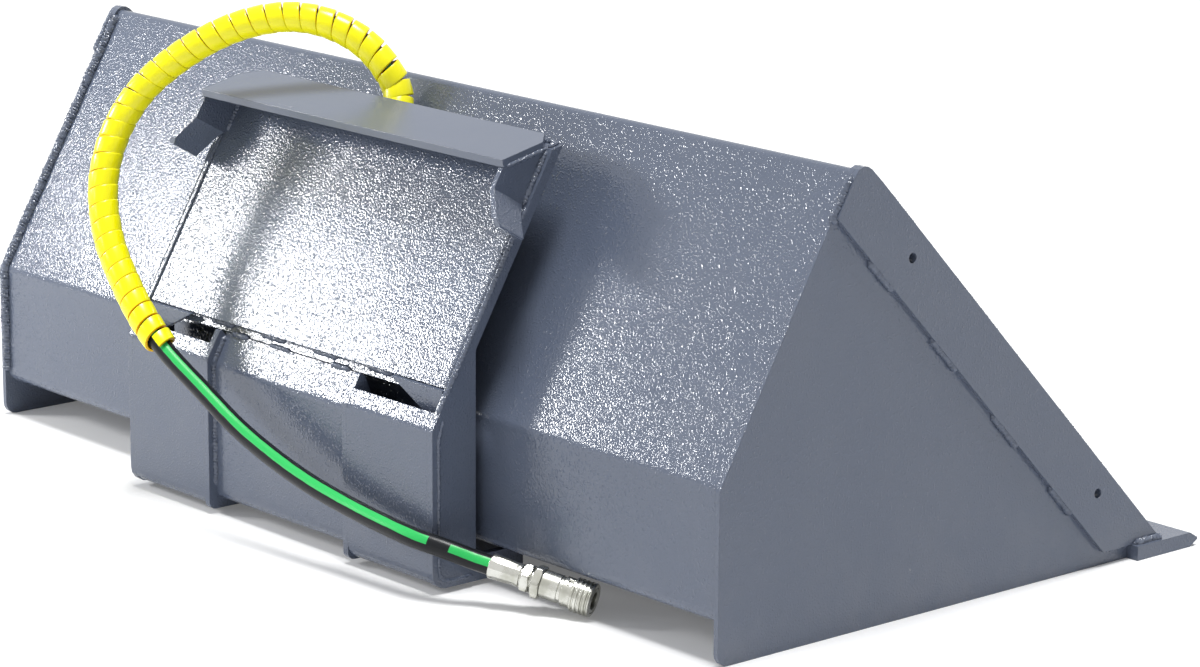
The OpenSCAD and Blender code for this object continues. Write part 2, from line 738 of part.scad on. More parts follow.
// A smooth curve through the points
function through(p, i, t) =
    let (a = p[max(0, i - 1)], b = p[i], c = p[i + 1], d = p[min(len(p) - 1, i + 2)], u = (c - a) / 2, v = (d - b) / 2)
    b * (2 * t * t * t - 3 * t * t + 1) + u * (t * t * t - 2 * t * t + t) + c * (3 * t * t - 2 * t * t * t) + v * (t * t * t - t * t);
function smooth(p, n) = concat([for (i = [0:len(p) - 2], k = [0:n - 1]) through(p, i, k / n)], [p[len(p) - 1]]);
function run(p, i) = i == 0 ? [0] : let (r = run(p, i - 1)) concat(r, [r[i - 1] + norm(p[i] - p[i - 1])]);

module hose() {
    color("#22252a") placed() tube(smooth(hose_points, 2), hose_d / 2, 10);
}

// The guard: a flat band wound round the hose, each turn a rib that steps down to the next
guard_first = 2;
guard_last = 19;
guard_path = smooth([for (i = [guard_first:guard_last - 1]) hose_points[i]], 8);
guard_run = run(guard_path, len(guard_path) - 1);
guard_bore = hose_d * 0.62;
guard_band_share = 0.92;
guard_step_share = 0.94;
function guard_at(d) = let (i = max([for (k = [0:len(guard_run) - 2]) guard_run[k] <= d ? k : 0]))
    guard_path[i] + (guard_path[i + 1] - guard_path[i]) * (d - guard_run[i]) / (guard_run[i + 1] - guard_run[i]);
function guard_rows() = let (total = guard_run[len(guard_run) - 1], step = total / guard_turns)
    [for (k = [0:guard_turns - 1]) each [[guard_at(k * step), guard_d / 2], [guard_at((k + guard_band_share) * step), guard_d / 2 * guard_step_share]]];

module spiral_guard() {
    n = 8;
    rows = guard_rows();
    p = [for (r = rows) r[0]];
    a = sides(p);
    m = len(p);
    outer = [for (i = [0:m - 1]) each ring(p[i], way(p, i), a[i], rows[i][1], n)];
    inner = [for (i = [0:m - 1]) each ring(p[i], way(p, i), a[i], guard_bore, n)];
    shift = m * n;
    ends = [for (k = [0:n - 1]) let (j = (k + 1) % n, e = (m - 1) * n) each
        [[k, j, k + shift], [j, j + shift, k + shift], [e + k, e + k + shift, e + j], [e + j, e + k + shift, e + j + shift]]];
    inside = [for (f = skin(m, n, true)) [f[0] + shift, f[1] + shift, f[2] + shift]];
    color("gold") placed() polyhedron(points = concat(outer, inner), faces = concat(skin(m, n, false), inside, ends), convexity = 10);
}

// Coupler at the hose's far end, drawn along its own axis from the hose outwards
module coupler_axis(d) {
    tilt = acos(coupler_way.z);
    turn = atan2(coupler_way.y, coupler_way.x);
    translate(coupler_start) rotate([0, tilt, turn]) translate([0, 0, d]) children();
}
coupler_l = norm(coupler_end - coupler_start);
sleeve_l = coupler_l * 0.29;
body_start = ferrule_l * 0.85;
sleeve_start = coupler_l - sleeve_l;
nut_t = hose_d * 0.45;
neck_d = sleeve_d * 0.82;
groove_d = neck_d * 0.93;
ferrule_end_d = ferrule_d * 0.92;
near_nut = body_start + nut_t * 0.2;
far_nut = body_start + nut_t * 1.5;
far_nut_w = hex_w * 1.12;
neck_start = body_start + nut_t * 2.5;

module outlet_ferrule() {
    color("gainsboro") placed() coupler_axis(0) cylinder(d1 = ferrule_d, d2 = ferrule_end_d, h = body_start);
}

module coupler_body() {
    groove_l = sleeve_l * 0.12;
    color("gainsboro") placed() difference() {
        union() {
            coupler_axis(body_start) cylinder(d = hose_d, h = nut_t * 3);
            coupler_axis(near_nut) cylinder(d = hex_w / cos(30), h = nut_t, $fn = 6);
            coupler_axis(far_nut) rotate([0, 0, 15]) cylinder(d = far_nut_w / cos(30), h = nut_t, $fn = 6);
            coupler_axis(neck_start) cylinder(d = neck_d, h = sleeve_start - sleeve_travel - air - neck_start);
            coupler_axis(sleeve_start - 2 * sleeve_travel) cylinder(d = groove_d, h = sleeve_l + sleeve_travel);
        }
        coupler_axis(sleeve_start) cylinder(d = mouth_d, h = sleeve_l + cut);
        coupler_axis(sleeve_start - sleeve_travel - groove_l * 4) difference() {
            cylinder(d = neck_d + cut, h = groove_l);
            translate([0, 0, -cut]) cylinder(d = groove_d, h = groove_l + 2 * cut);
        }
    }
}

module coupler_sleeve() {
    rings = 3;
    rib = sleeve_l / (2 * rings + 1);
    groove_depth = rib * 0.7;
    color("gainsboro") placed() difference() {
        coupler_axis(sleeve_start) cylinder(d = sleeve_d, h = sleeve_l);
        coupler_axis(sleeve_start - cut) cylinder(d = groove_d + 2 * running, h = sleeve_l + 2 * cut);
        for (k = [0:rings - 1]) coupler_axis(sleeve_start + rib * (2 * k + 1)) difference() {
            cylinder(d = sleeve_d + cut, h = rib);
            translate([0, 0, -cut]) cylinder(d = sleeve_d - groove_depth, h = rib + 2 * cut);
        }
    }
}

shell();
side_plate_left();
side_plate_right();
cheek_left();
cheek_right();
cutting_edge();
pivot_lugs_left();
pivot_lugs_right();
pivot_pin_left();
pivot_pin_right();
split_pins();
striker_lug();
coupler_plate();
hook_lip();
ear_left();
ear_right();
frame_side_left();
frame_side_right();
backing_strip();
cover_left();
cover_middle();
cover_right();
rib_left();
rib_right();
gusset_left();
gusset_right();
arm_left();
arm_right();
pivot_bush_left();
pivot_bush_right();
bolt_guides();
cylinder_saddle();
latch_cylinder();
latch_bolt();
piston_rod();
return_spring();
hose_adapter();
inlet_ferrule();
hose();
spiral_guard();
outlet_ferrule();
coupler_body();
coupler_sleeve();
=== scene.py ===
"""Looks of the self-dumping bucket: paint, welds, hose and guard, quick coupler, hinge, latch and studio.

The part's own sizes are in millimetres, with Y = 0 at the rear panel, and place() turns them into the shared
frame in metres. The studio's places are in metres in the shared frame.
"""

import logging
import math
from dataclasses import dataclass, field
from enum import Enum
from typing import Optional, Sequence, Union

import bpy
from mathutils import Matrix, Vector, noise


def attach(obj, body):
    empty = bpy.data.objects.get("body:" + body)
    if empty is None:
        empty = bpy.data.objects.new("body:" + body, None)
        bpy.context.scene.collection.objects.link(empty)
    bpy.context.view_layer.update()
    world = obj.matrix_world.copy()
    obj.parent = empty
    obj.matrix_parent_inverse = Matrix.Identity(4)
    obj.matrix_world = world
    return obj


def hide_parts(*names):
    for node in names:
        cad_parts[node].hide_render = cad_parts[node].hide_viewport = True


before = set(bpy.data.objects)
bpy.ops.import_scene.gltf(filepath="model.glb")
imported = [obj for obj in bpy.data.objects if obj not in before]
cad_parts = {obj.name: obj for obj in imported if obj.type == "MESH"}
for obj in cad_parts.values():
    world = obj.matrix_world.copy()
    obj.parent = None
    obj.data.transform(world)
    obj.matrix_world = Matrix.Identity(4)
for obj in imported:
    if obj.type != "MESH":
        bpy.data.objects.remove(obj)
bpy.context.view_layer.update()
log = logging.getLogger("bucket")

Material = bpy.types.Material
Piece = bpy.types.Object
Node = bpy.types.Node
Socket = bpy.types.NodeSocket
Value = Union[float, Sequence[float], Socket]
Rgb = tuple[float, float, float]
Spot = tuple[float, float, float]
Pair = tuple[float, float]
Pairs = tuple[Pair, ...]
Ring = list[Vector]
Frame3 = tuple[Vector, Vector, Vector]

# One millimetre in the shared frame
MM = 0.001
# From the rear panel to the shared frame's origin
MID_Y = 289.0
# How far the bucket's back and the coupler plate lean forward
LEAN = math.radians(30.2)
# Y and Z at the foot of the bucket's leaning back
BACK_REF = (0.0, 170.0)
# Y and Z at the foot of the coupler plate's rear face
FRAME_REF = (-65.0, 165.1)
# Open gap between the coupler plate and the bucket's back
GAP = 43.7
# The latch's place up the back
LATCH_S = 130.0
# The UV map that runs round and along a tube
RUN_UV = "run"


class Body(Enum):
    """The rigid bodies that a new piece can ride on."""

    FRAME = "frame"
    BUCKET = "bucket"
    SLEEVE = "sleeve"


class Slot(Enum):
    """Names of the record's material slots, passed along with new pieces."""

    PAINT = "paint"
    STEEL = "steel"
    ZINC = "zinc"
    RUBBER = "hose_rubber"
    GUARD = "guard_plastic"


class Side(Enum):
    """The two sides of the bucket, with the sign of their X."""

    LEFT = -1
    RIGHT = 1


# Places


def place(x: float, y: float, z: float) -> Vector:
    """A point of the part, from millimetres with Y = 0 at the rear panel.

    Args:
        x: Across, to the right.
        y: Forward from the rear panel.
        z: Up from the ground.

    Returns:
        The point in the shared frame, in metres.
    """
    return Vector((x, y - MID_Y, z)) * MM


def on_slope(ref: Pair, x: float, n: float, s: float) -> Vector:
    """A point given square to and along one of the two leaning planes.

    Args:
        ref: Y and Z of the plane's lower edge.
        x: Across.
        n: Square to the plane, forward.
        s: Up the plane.

    Returns:
        The point in the shared frame, in metres.
    """
    y = ref[0] + n * math.cos(LEAN) + s * math.sin(LEAN)
    z = ref[1] - n * math.sin(LEAN) + s * math.cos(LEAN)
    return place(x, y, z)


def slope_y(z: float) -> float:
    """Y of the bucket's back at a height, in millimetres."""
    return max(0.0, (z - BACK_REF[1]) * math.tan(LEAN))


def upright(x: float, pairs: Sequence[Pair]) -> tuple[Vector, ...]:
    """Points at one X, from pairs of Y and Z."""
    return tuple(place(x, y, z) for y, z in pairs)


def leaning(ref: Pair, x: float, pairs: Sequence[Pair]) -> tuple[Vector, ...]:
    """Points at one X of a leaning plane, from pairs of a step off it and a step up it."""
    return tuple(on_slope(ref, x, n, s) for n, s in pairs)


def crossing(ref: Pair, left: float, right: float, pair: Pair) -> tuple[Vector, ...]:
    """The two ends of a level line on a leaning plane, from a step off it and a step up it."""
    return tuple(on_slope(ref, x, *pair) for x in (left, right))


# Sweeps


def through(points: Sequence[Vector], steps: int) -> list[Vector]:
    """A smooth curve through points, as the part's own source makes it.

    Args:
        points: The points it passes.
        steps: Pieces between one point and the next.

    Returns:
        The points of the curve.
    """
    out: list[Vector] = []
    last = len(points) - 1
    for i in range(last):
        a, b, c, d = points[max(0, i - 1)], points[i], points[i + 1], points[min(last, i + 2)]
        u, v = (c - a) / 2, (d - b) / 2
        for k in range(steps):
            t = k / steps
            t2, t3 = t**2, t**3
            near = b * (2 * t3 - 3 * t2 + 1) + u * (t3 - 2 * t2 + t)
            out.append(near + c * (3 * t2 - 2 * t3) + v * (t3 - t2))
    out.append(points[last].copy())
    return out


def resample(points: Sequence[Vector], step: float) -> list[Vector]:
    """Points at even steps along a line.

    Args:
        points: The line's points.
        step: Distance wanted between points, in metres.

    Returns:
        Evenly spaced points, the two ends included.
    """
    shortest = 1e-9
    lengths = [0.0]
    for a, b in zip(points, points[1:]):
        lengths.append(lengths[-1] + (b - a).length)
    count = max(2, round(lengths[-1] / step))
    out: list[Vector] = []
    i = 0
    for k in range(count + 1):
        d = lengths[-1] * k / count
        while i < len(points) - 2 and lengths[i + 1] < d:
            i += 1
        span = max(shortest, lengths[i + 1] - lengths[i])
        out.append(points[i].lerp(points[i + 1], min(1.0, (d - lengths[i]) / span)))
    return out


def carried_frames(points: Sequence[Vector], first: Optional[Vector] = None) -> list[Frame3]:
    """Frames that turn as little as possible along a line.

    Args:
        points: The line's points.
        first: A direction that the first frame's second axis leans to, which is up where none is given.

    Returns:
        For each point the way, a side and the other side, each a unit vector.
    """
    nearly_along = 0.999
    out: list[Frame3] = []
    side = first or Vector((0, 0, 1))
    for i in range(len(points)):
        way = (points[min(i + 1, len(points) - 1)] - points[max(i - 1, 0)]).normalized()
        if abs(way.dot(side)) > nearly_along:
            side = Vector((1, 0, 0))
        side = (side - way * way.dot(side)).normalized()
        out.append((way, side, way.cross(side)))
    return out


def spoke(a: Vector, b: Vector, angle: float) -> Vector:
    """The unit vector at an angle from a towards b."""
    return a * math.cos(angle) + b * math.sin(angle)


def round_ring(centre: Vector, a: Vector, b: Vector, radius: float, sides: int) -> Ring:
    """A round ring.

    Args:
        centre: Its centre, in metres.
        a: The unit vector to its first point.
        b: The unit vector a quarter turn further on.
        radius: Its radius in millimetres.
        sides: The number of its points.

    Returns:
        The ring's points.
    """
    return [centre + spoke(a, b, math.tau * k / sides) * (radius * MM) for k in range(sides)]


@dataclass
class Skin:
    """Collects rings into one mesh, with a UV that runs round and along."""

    name: str
    verts: list[Vector] = field(default_factory=list)
    faces: list[tuple[int, ...]] = field(default_factory=list)
    uvs: list[Pair] = field(default_factory=list)

    def tube(
        self, rings: Sequence[Ring], closed: bool = False, runs: Optional[Sequence[float]] = None
    ) -> None:
        """Adds a tube, with a face on each end unless it is closed.

        Args:
            rings: Its rings, all with the same number of points.
            closed: Whether its last ring joins its first.
            runs: The length run up to each ring, for the UV.
        """
        base, n, rows = len(self.verts), len(rings[0]), len(rings)
        for i, ring in enumerate(rings):
            self.verts.extend(ring)
            run = runs[i] if runs else i / max(1, rows - 1)
            self.uvs.extend((k / n, run) for k in range(n))
        for i in range(rows if closed else rows - 1):
            here, there = base + i * n, base + (i + 1) % rows * n
            for k in range(n):
                m = (k + 1) % n
                self.faces.append((here + k, here + m, there + m, there + k))
        if not closed:
            self.faces.append(tuple(base + k for k in reversed(range(n))))
            self.faces.append(tuple(base + (rows - 1) * n + k for k in range(n)))

    def build(self, body: Body, slot: Slot, material: Material, crease: float = 40.0) -> Piece:
        """Makes the object and lets it ride.

        Args:
            body: The body that it moves with.
            slot: Not used.
            material: Its finish.
            crease: Edges sharper than this, in degrees, stay sharp.

        Returns:
            The new object.
        """
        mesh = bpy.data.meshes.new(self.name)
        mesh.from_pydata([tuple(v) for v in self.verts], [], self.faces)
        mesh.update()
        self.lay_uvs(mesh)
        mesh.shade_smooth()
        mesh.set_sharp_from_angle(angle=math.radians(crease))
        obj = bpy.data.objects.new(self.name, mesh)
        bpy.context.scene.collection.objects.link(obj)
        obj.data.materials.append(material)
        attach(obj, body.value)
        log.info("made %s: %d faces, on %s", self.name, len(self.faces), body.value)
        return obj

    def lay_uvs(self, mesh: bpy.types.Mesh) -> None:
        """Lays the UV on a mesh, where a face that spans over half a turn is one that closes the ring.

        Args:
            mesh: The mesh, made of this skin's points and faces.
        """
        half_turn = 0.5
        layer = mesh.uv_layers.new(name=RUN_UV)
        for poly in mesh.polygons:
            spots = [self.uvs[mesh.loops[k].vertex_index] for k in poly.loop_indices]
            us = [u for u, _ in spots]
            wrap = max(us) - min(us) > half_turn
            for k, (u, v) in zip(poly.loop_indices, spots):
                layer.data[k].uv = (u + 1.0 if wrap and u < half_turn else u, v)


# Shader nodes and shared effects


@dataclass
class Sheet:
    """Adds nodes to one node tree and joins them."""

    tree: bpy.types.NodeTree

    def add(self, kind: str, **settings: object) -> Node:
        """A new node with its settings.

        Args:
            kind: The node's type.
            **settings: Properties of the node.

        Returns:
            The node.
        """
        node = self.tree.nodes.new(kind)
        for key, value in settings.items():
            setattr(node, key, value)
        return node

    def join(self, out: Socket, into: Socket) -> None:
        """Links an output to an input."""
        self.tree.links.new(out, into)

    def feed(self, node: Node, key: Union[str, int], value: Value) -> None:
        """Sets an input, or links an output to it.

        Args:
            node: The node.
            key: The input's name or its place among the inputs.
            value: A plain value or another node's output.
        """
        if isinstance(value, Socket):
            self.join(value, node.inputs[key])
        else:
            node.inputs[key].default_value = value

    def maths(self, operation: str, a: Value, b: Value = 0.0, clamp: bool = False) -> Socket:
        """A Math node.

        Args:
            operation: What it does.
            a: Its first value.
            b: Its second value.
            clamp: Whether the result is kept from 0 to 1.

        Returns:
            The result.
        """
        node = self.add("ShaderNodeMath", operation=operation, use_clamp=clamp)
        self.feed(node, 0, a)
        self.feed(node, 1, b)
        return node.outputs[0]

    def plus(self, a: Value, b: Value) -> Socket:
        """The sum of two values."""
        return self.maths("ADD", a, b)

    def minus(self, a: Value, b: Value) -> Socket:
        """The first value less the second."""
        return self.maths("SUBTRACT", a, b)

    def times(self, a: Value, b: Value) -> Socket:
        """The product of two values."""
        return self.maths("MULTIPLY", a, b)

    def where(self) -> Socket:
        """The place on the object."""
        return self.add("ShaderNodeTexCoord").outputs["Object"]

    def noise(self, at: Socket, scale: Value, detail: float, rough: float = 0.5) -> Socket:
        """A noise.

        Args:
            at: The place where it is read.
            scale: Its cells per metre.
            detail: Its finer layers.
            rough: How strong each finer layer is beside the one before.

        Returns:
            A value about 0.5.
        """
        node = self.add("ShaderNodeTexNoise")
        self.join(at, node.inputs["Vector"])
        self.feed(node, "Scale", scale)
        self.feed(node, "Detail", detail)
        self.feed(node, "Roughness", rough)
        return node.outputs["Fac"]

    def span(self, value: Socket, ends: Pair, top: float = 1.0) -> Socket:
        """A clamped, smooth map of a value to a range that starts at 0.

        Args:
            value: The value.
            ends: Where the map starts and ends.
            top: What it reaches.

        Returns:
            The mapped value.
        """
        node = self.add("ShaderNodeMapRange", interpolation_type="SMOOTHSTEP")
        low, high = ends
        values = {"Value": value, "From Min": low, "From Max": high, "To Min": 0.0, "To Max": top}
        for key, v in values.items():
            self.feed(node, key, v)
        return node.outputs["Result"]

    def mix(self, share: Value, a: Value, b: Value) -> Socket:
        """A mix of two colours.

        Args:
            share: The second colour's share.
            a: The first colour.
            b: The second colour.

        Returns:
            The mixed colour.
        """
        share_key, a_key, b_key, colour_out = 0, 6, 7, 2
        node = self.add("ShaderNodeMix", data_type="RGBA")
        for key, value in ((share_key, share), (a_key, a), (b_key, b)):
            self.feed(node, key, value)
        return node.outputs[colour_out]

    def bevel(self, radius: float) -> Socket:
        """A normal that rounds the edges.

        Args:
            radius: The rounding's radius in millimetres.

        Returns:
            The normal.
        """
        node = self.add("ShaderNodeBevel", samples=4)
        self.feed(node, "Radius", radius * MM)
        return node.outputs["Normal"]

    def bump(self, height: Socket, strength: float, depth: float, normal: Optional[Socket] = None) -> Socket:
        """A normal that follows a height.

        Args:
            height: The height, from 0 to 1.
            strength: How much of it shows.
            depth: How deep a height of 1 is, in millimetres.
            normal: The normal that it starts from.

        Returns:
            The normal.
        """
        node = self.add("ShaderNodeBump")
        self.feed(node, "Strength", strength)
        self.feed(node, "Distance", depth * MM)
        self.feed(node, "Height", height)
        if normal is not None:
            self.feed(node, "Normal", normal)
        return node.outputs["Normal"]


class Effect(Enum):
    """The effects that finishes share."""

    ORANGE_PEEL = "orange_peel"
    GRAIN = "grain"
    SCUFFS = "scuffs"
    GRIME = "grime"


@dataclass
class Effects:
    """The shared effects, each one node group that is built once.

    Scales are in cells per metre, or shares of the group's own scale, and the pairs are where a noise starts
    and ends to show.
    """

    peel_detail: float = 0.6
    peel_rough: float = 0.4
    peel_height: float = 0.7
    swell_scale: float = 0.12
    swell_detail: float = 1.0
    speck_scale: float = 0.87
    speck_from: float = 0.56
    paint_clouds: float = 7.0
    metal_clouds: float = 60.0
    cloud_detail: float = 3.0
    grain_detail: float = 2.0
    scuff_turn: Spot = (0.5, 0.7, 0.9)
    scuff_squeeze: Spot = (0.06, 1.0, 1.0)
    scuff_detail: float = 5.0
    scuff_rough: float = 0.7
    scuff_lines: Pair = (0.66, 0.72)
    scuff_patch_scale: float = 5.0
    scuff_patch_detail: float = 2.0
    scuff_patches: Pair = (0.5, 0.66)
    dust_scale: float = 14.0
    dust_detail: float = 6.0
    dust_rough: float = 0.62
    dust_clouds: Pair = (0.42, 0.7)
    dust_low: float = 0.8
    groups: dict[Effect, bpy.types.NodeTree] = field(default_factory=dict)

    def start(
        self, effect: Effect, inputs: dict[str, float], outputs: Sequence[str]
    ) -> tuple[Sheet, Node, Node]:
        """An empty group with named sockets.

        Args:
            effect: The effect that it holds.
            inputs: Its float inputs and their values.
            outputs: Its float outputs.

        Returns:
            A sheet on it, its input node and its output node.
        """
        tree = bpy.data.node_groups.new(effect.value, "ShaderNodeTree")
        for key, value in inputs.items():
            socket = tree.interface.new_socket(key, in_out="INPUT", socket_type="NodeSocketFloat")
            socket.default_value = value
        for key in outputs:
            tree.interface.new_socket(key, in_out="OUTPUT", socket_type="NodeSocketFloat")
        self.groups[effect] = tree
        sheet = Sheet(tree)
        return sheet, sheet.add("NodeGroupInput"), sheet.add("NodeGroupOutput")

    def build(self) -> None:
        """Builds every effect."""
        self.orange_peel()
        self.grain()
        self.scuffs()
        self.grime()

    def orange_peel(self) -> None:
        """Powder coat's grainy skin: fine cells on a slow swell, with steeper specks that catch the light."""
        inputs = {"Cells per metre": 560.0, "Swell": 0.25, "Specks": 2.6}
        sheet, entry, leave = self.start(Effect.ORANGE_PEEL, inputs, ["Height", "Tone"])
        at, cells = sheet.where(), entry.outputs["Cells per metre"]
        fine = sheet.noise(at, cells, self.peel_detail, self.peel_rough)
        swell = sheet.noise(at, sheet.times(cells, self.swell_scale), self.swell_detail)
        height = sheet.plus(sheet.times(fine, self.peel_height), sheet.times(swell, entry.outputs["Swell"]))
        sharp = sheet.noise(at, sheet.times(cells, self.speck_scale), 0.0)
        specks = sheet.maths("MAXIMUM", sheet.minus(sharp, self.speck_from), 0.0)
        height = sheet.plus(height, sheet.times(specks, entry.outputs["Specks"]))
        sheet.feed(leave, "Height", height)
        sheet.feed(leave, "Tone", sheet.noise(at, self.paint_clouds, self.cloud_detail))

    def grain(self) -> None:
        """Very fine even grain, for rubber, plastic and bare metal."""
        sheet, entry, leave = self.start(Effect.GRAIN, {"Grains per metre": 1500.0}, ["Height", "Tone"])
        at = sheet.where()
        sheet.feed(leave, "Height", sheet.noise(at, entry.outputs["Grains per metre"], self.grain_detail))
        sheet.feed(leave, "Tone", sheet.noise(at, self.metal_clouds, self.cloud_detail))

    def scuffs(self) -> None:
        """Thin, short, sparse rubbed lines that run mostly one way."""
        inputs = {"Lines per metre": 90.0, "Amount": 0.3}
        sheet, entry, leave = self.start(Effect.SCUFFS, inputs, ["Mask"])
        at, turn = sheet.where(), sheet.add("ShaderNodeMapping")
        sheet.feed(turn, "Rotation", self.scuff_turn)
        sheet.feed(turn, "Scale", self.scuff_squeeze)
        sheet.feed(turn, "Vector", at)
        density = entry.outputs["Lines per metre"]
        lines = sheet.noise(turn.outputs["Vector"], density, self.scuff_detail, self.scuff_rough)
        patches = sheet.noise(at, self.scuff_patch_scale, self.scuff_patch_detail)
        mask = sheet.times(sheet.span(lines, self.scuff_lines), sheet.span(patches, self.scuff_patches))
        sheet.feed(leave, "Mask", sheet.times(mask, entry.outputs["Amount"]))

    def grime(self) -> None:
        """Pale dust in clouds, more of it near the ground."""
        sheet, entry, leave = self.start(Effect.GRIME, {"Amount": 0.15, "Reach": 0.12}, ["Mask"])
        at, split = sheet.where(), sheet.add("ShaderNodeSeparateXYZ")
        sheet.feed(split, 0, at)
        height = sheet.maths("DIVIDE", split.outputs["Z"], entry.outputs["Reach"])
        low = sheet.maths("SUBTRACT", 1.0, height, clamp=True)
        dust = sheet.noise(at, self.dust_scale, self.dust_detail, self.dust_rough)
        clouds = sheet.span(dust, self.dust_clouds)
        base = sheet.times(clouds, sheet.plus(sheet.times(low, self.dust_low), 1.0 - self.dust_low))
        sheet.feed(leave, "Mask", sheet.times(base, entry.outputs["Amount"]))

    def use(self, sheet: Sheet, effect: Effect, **values: float) -> Node:
        """Places an effect in a material.

        Args:
            sheet: The material's sheet.
            effect: The effect.
            **values: Its inputs, with an underscore for each space.

        Returns:
            The group node.
        """
        node = sheet.add("ShaderNodeGroup", node_tree=self.groups[effect])
        for key, value in values.items():
            sheet.feed(node, key.replace("_", " "), value)
        return node


# Finishes


def rgba(colour: Rgb) -> tuple[float, float, float, float]:
    """A colour with full alpha."""
    return (*colour, 1.0)


def scaled(colour: Rgb, factor: float, lift: float = 0.0) -> Rgb:
    """A colour times a factor, lifted by a step and kept under 1."""
    return tuple(min(1.0, c * factor + lift) for c in colour)


def new_material(name: str) -> tuple[Material, Sheet, Node]:
    """An empty material with a Principled BSDF joined to its output.

    Args:
        name: The material's name.

    Returns:
        The material, a sheet on its tree and the shader node.
    """
    material = bpy.data.materials.new(name)
    material.use_nodes = True
    material.node_tree.nodes.clear()
    sheet = Sheet(material.node_tree)
    shader, out = sheet.add("ShaderNodeBsdfPrincipled"), sheet.add("ShaderNodeOutputMaterial")
    sheet.feed(out, "Surface", shader.outputs["BSDF"])
    return material, sheet, shader


@dataclass(frozen=True)
class PaintFinish:
    """Glossy slate powder coat on welded sheet."""

    colour: Rgb = (0.1, 0.121, 0.172)
    chalk: Rgb = (0.2, 0.215, 0.24)
    dust: Rgb = (0.42, 0.4, 0.37)
    gloss_roughness: float = 0.09
    peel_mm: float = 0.38
    cells: float = 500.0
    edge_mm: float = 1.1
    scuffing: float = 0.35
    dustiness: float = 0.05
    clouds: Pair = (0.3, 0.7)
    clouding: float = 0.05
    scuff_roughness: float = 0.5
    dust_roughness: float = 1.2

    def make(self, name: str, effects: Effects) -> Material:
        """Builds the material.

        Args:
            name: The material's name.
            effects: The shared effects.

        Returns:
            The material.
        """
        material, sheet, shader = new_material(name)
        peel = effects.use(sheet, Effect.ORANGE_PEEL, Cells_per_metre=self.cells)
        scuff = effects.use(sheet, Effect.SCUFFS, Amount=self.scuffing).outputs["Mask"]
        grime = effects.use(sheet, Effect.GRIME, Amount=self.dustiness).outputs["Mask"]
        tone = sheet.span(peel.outputs["Tone"], self.clouds, self.clouding)
        coat = sheet.mix(tone, rgba(self.colour), rgba(self.chalk))
        coat = sheet.mix(scuff, coat, rgba(self.chalk))
        coat = sheet.mix(grime, coat, rgba(self.dust))
        sheet.feed(shader, "Base Color", coat)
        rough = sheet.plus(self.gloss_roughness, sheet.times(scuff, self.scuff_roughness))
        rough = sheet.plus(rough, sheet.times(grime, self.dust_roughness))
        sheet.feed(shader, "Roughness", rough)
        normal = sheet.bump(peel.outputs["Height"], 1.0, self.peel_mm, sheet.bevel(self.edge_mm))
        sheet.feed(shader, "Normal", normal)
        return material


@dataclass(frozen=True)
class MetalFinish:
    """Bare or plated metal with a fine grain."""

    colour: Rgb
    shade: Rgb
    roughness: float
    grain_mm: float = 0.02
    grains: float = 1400.0
    grain_strength: float = 0.6
    edge_mm: float = 0.5
    scuffs: float = 400.0
    scuffing: float = 0.8
    clouds: Pair = (0.35, 0.68)
    cloud_roughness: float = 0.12

    def make(self, name: str, effects: Effects) -> Material:
        """Builds the material.

        Args:
            name: The material's name.
            effects: The shared effects.

        Returns:
            The material.
        """
        material, sheet, shader = new_material(name)
        grain = effects.use(sheet, Effect.GRAIN, Grains_per_metre=self.grains)
        scuff = effects.use(sheet, Effect.SCUFFS, Lines_per_metre=self.scuffs, Amount=self.scuffing)
        tone = sheet.span(grain.outputs["Tone"], self.clouds)
        metal = sheet.mix(tone, rgba(self.colour), rgba(self.shade))
        sheet.feed(shader, "Base Color", sheet.mix(scuff.outputs["Mask"], metal, rgba(self.shade)))
        sheet.feed(shader, "Metallic", 1.0)
        sheet.feed(shader, "Roughness", sheet.plus(self.roughness, sheet.times(tone, self.cloud_roughness)))
        bevel = sheet.bevel(self.edge_mm)
        normal = sheet.bump(grain.outputs["Height"], self.grain_strength, self.grain_mm, bevel)
        sheet.feed(shader, "Normal", normal)
        return material


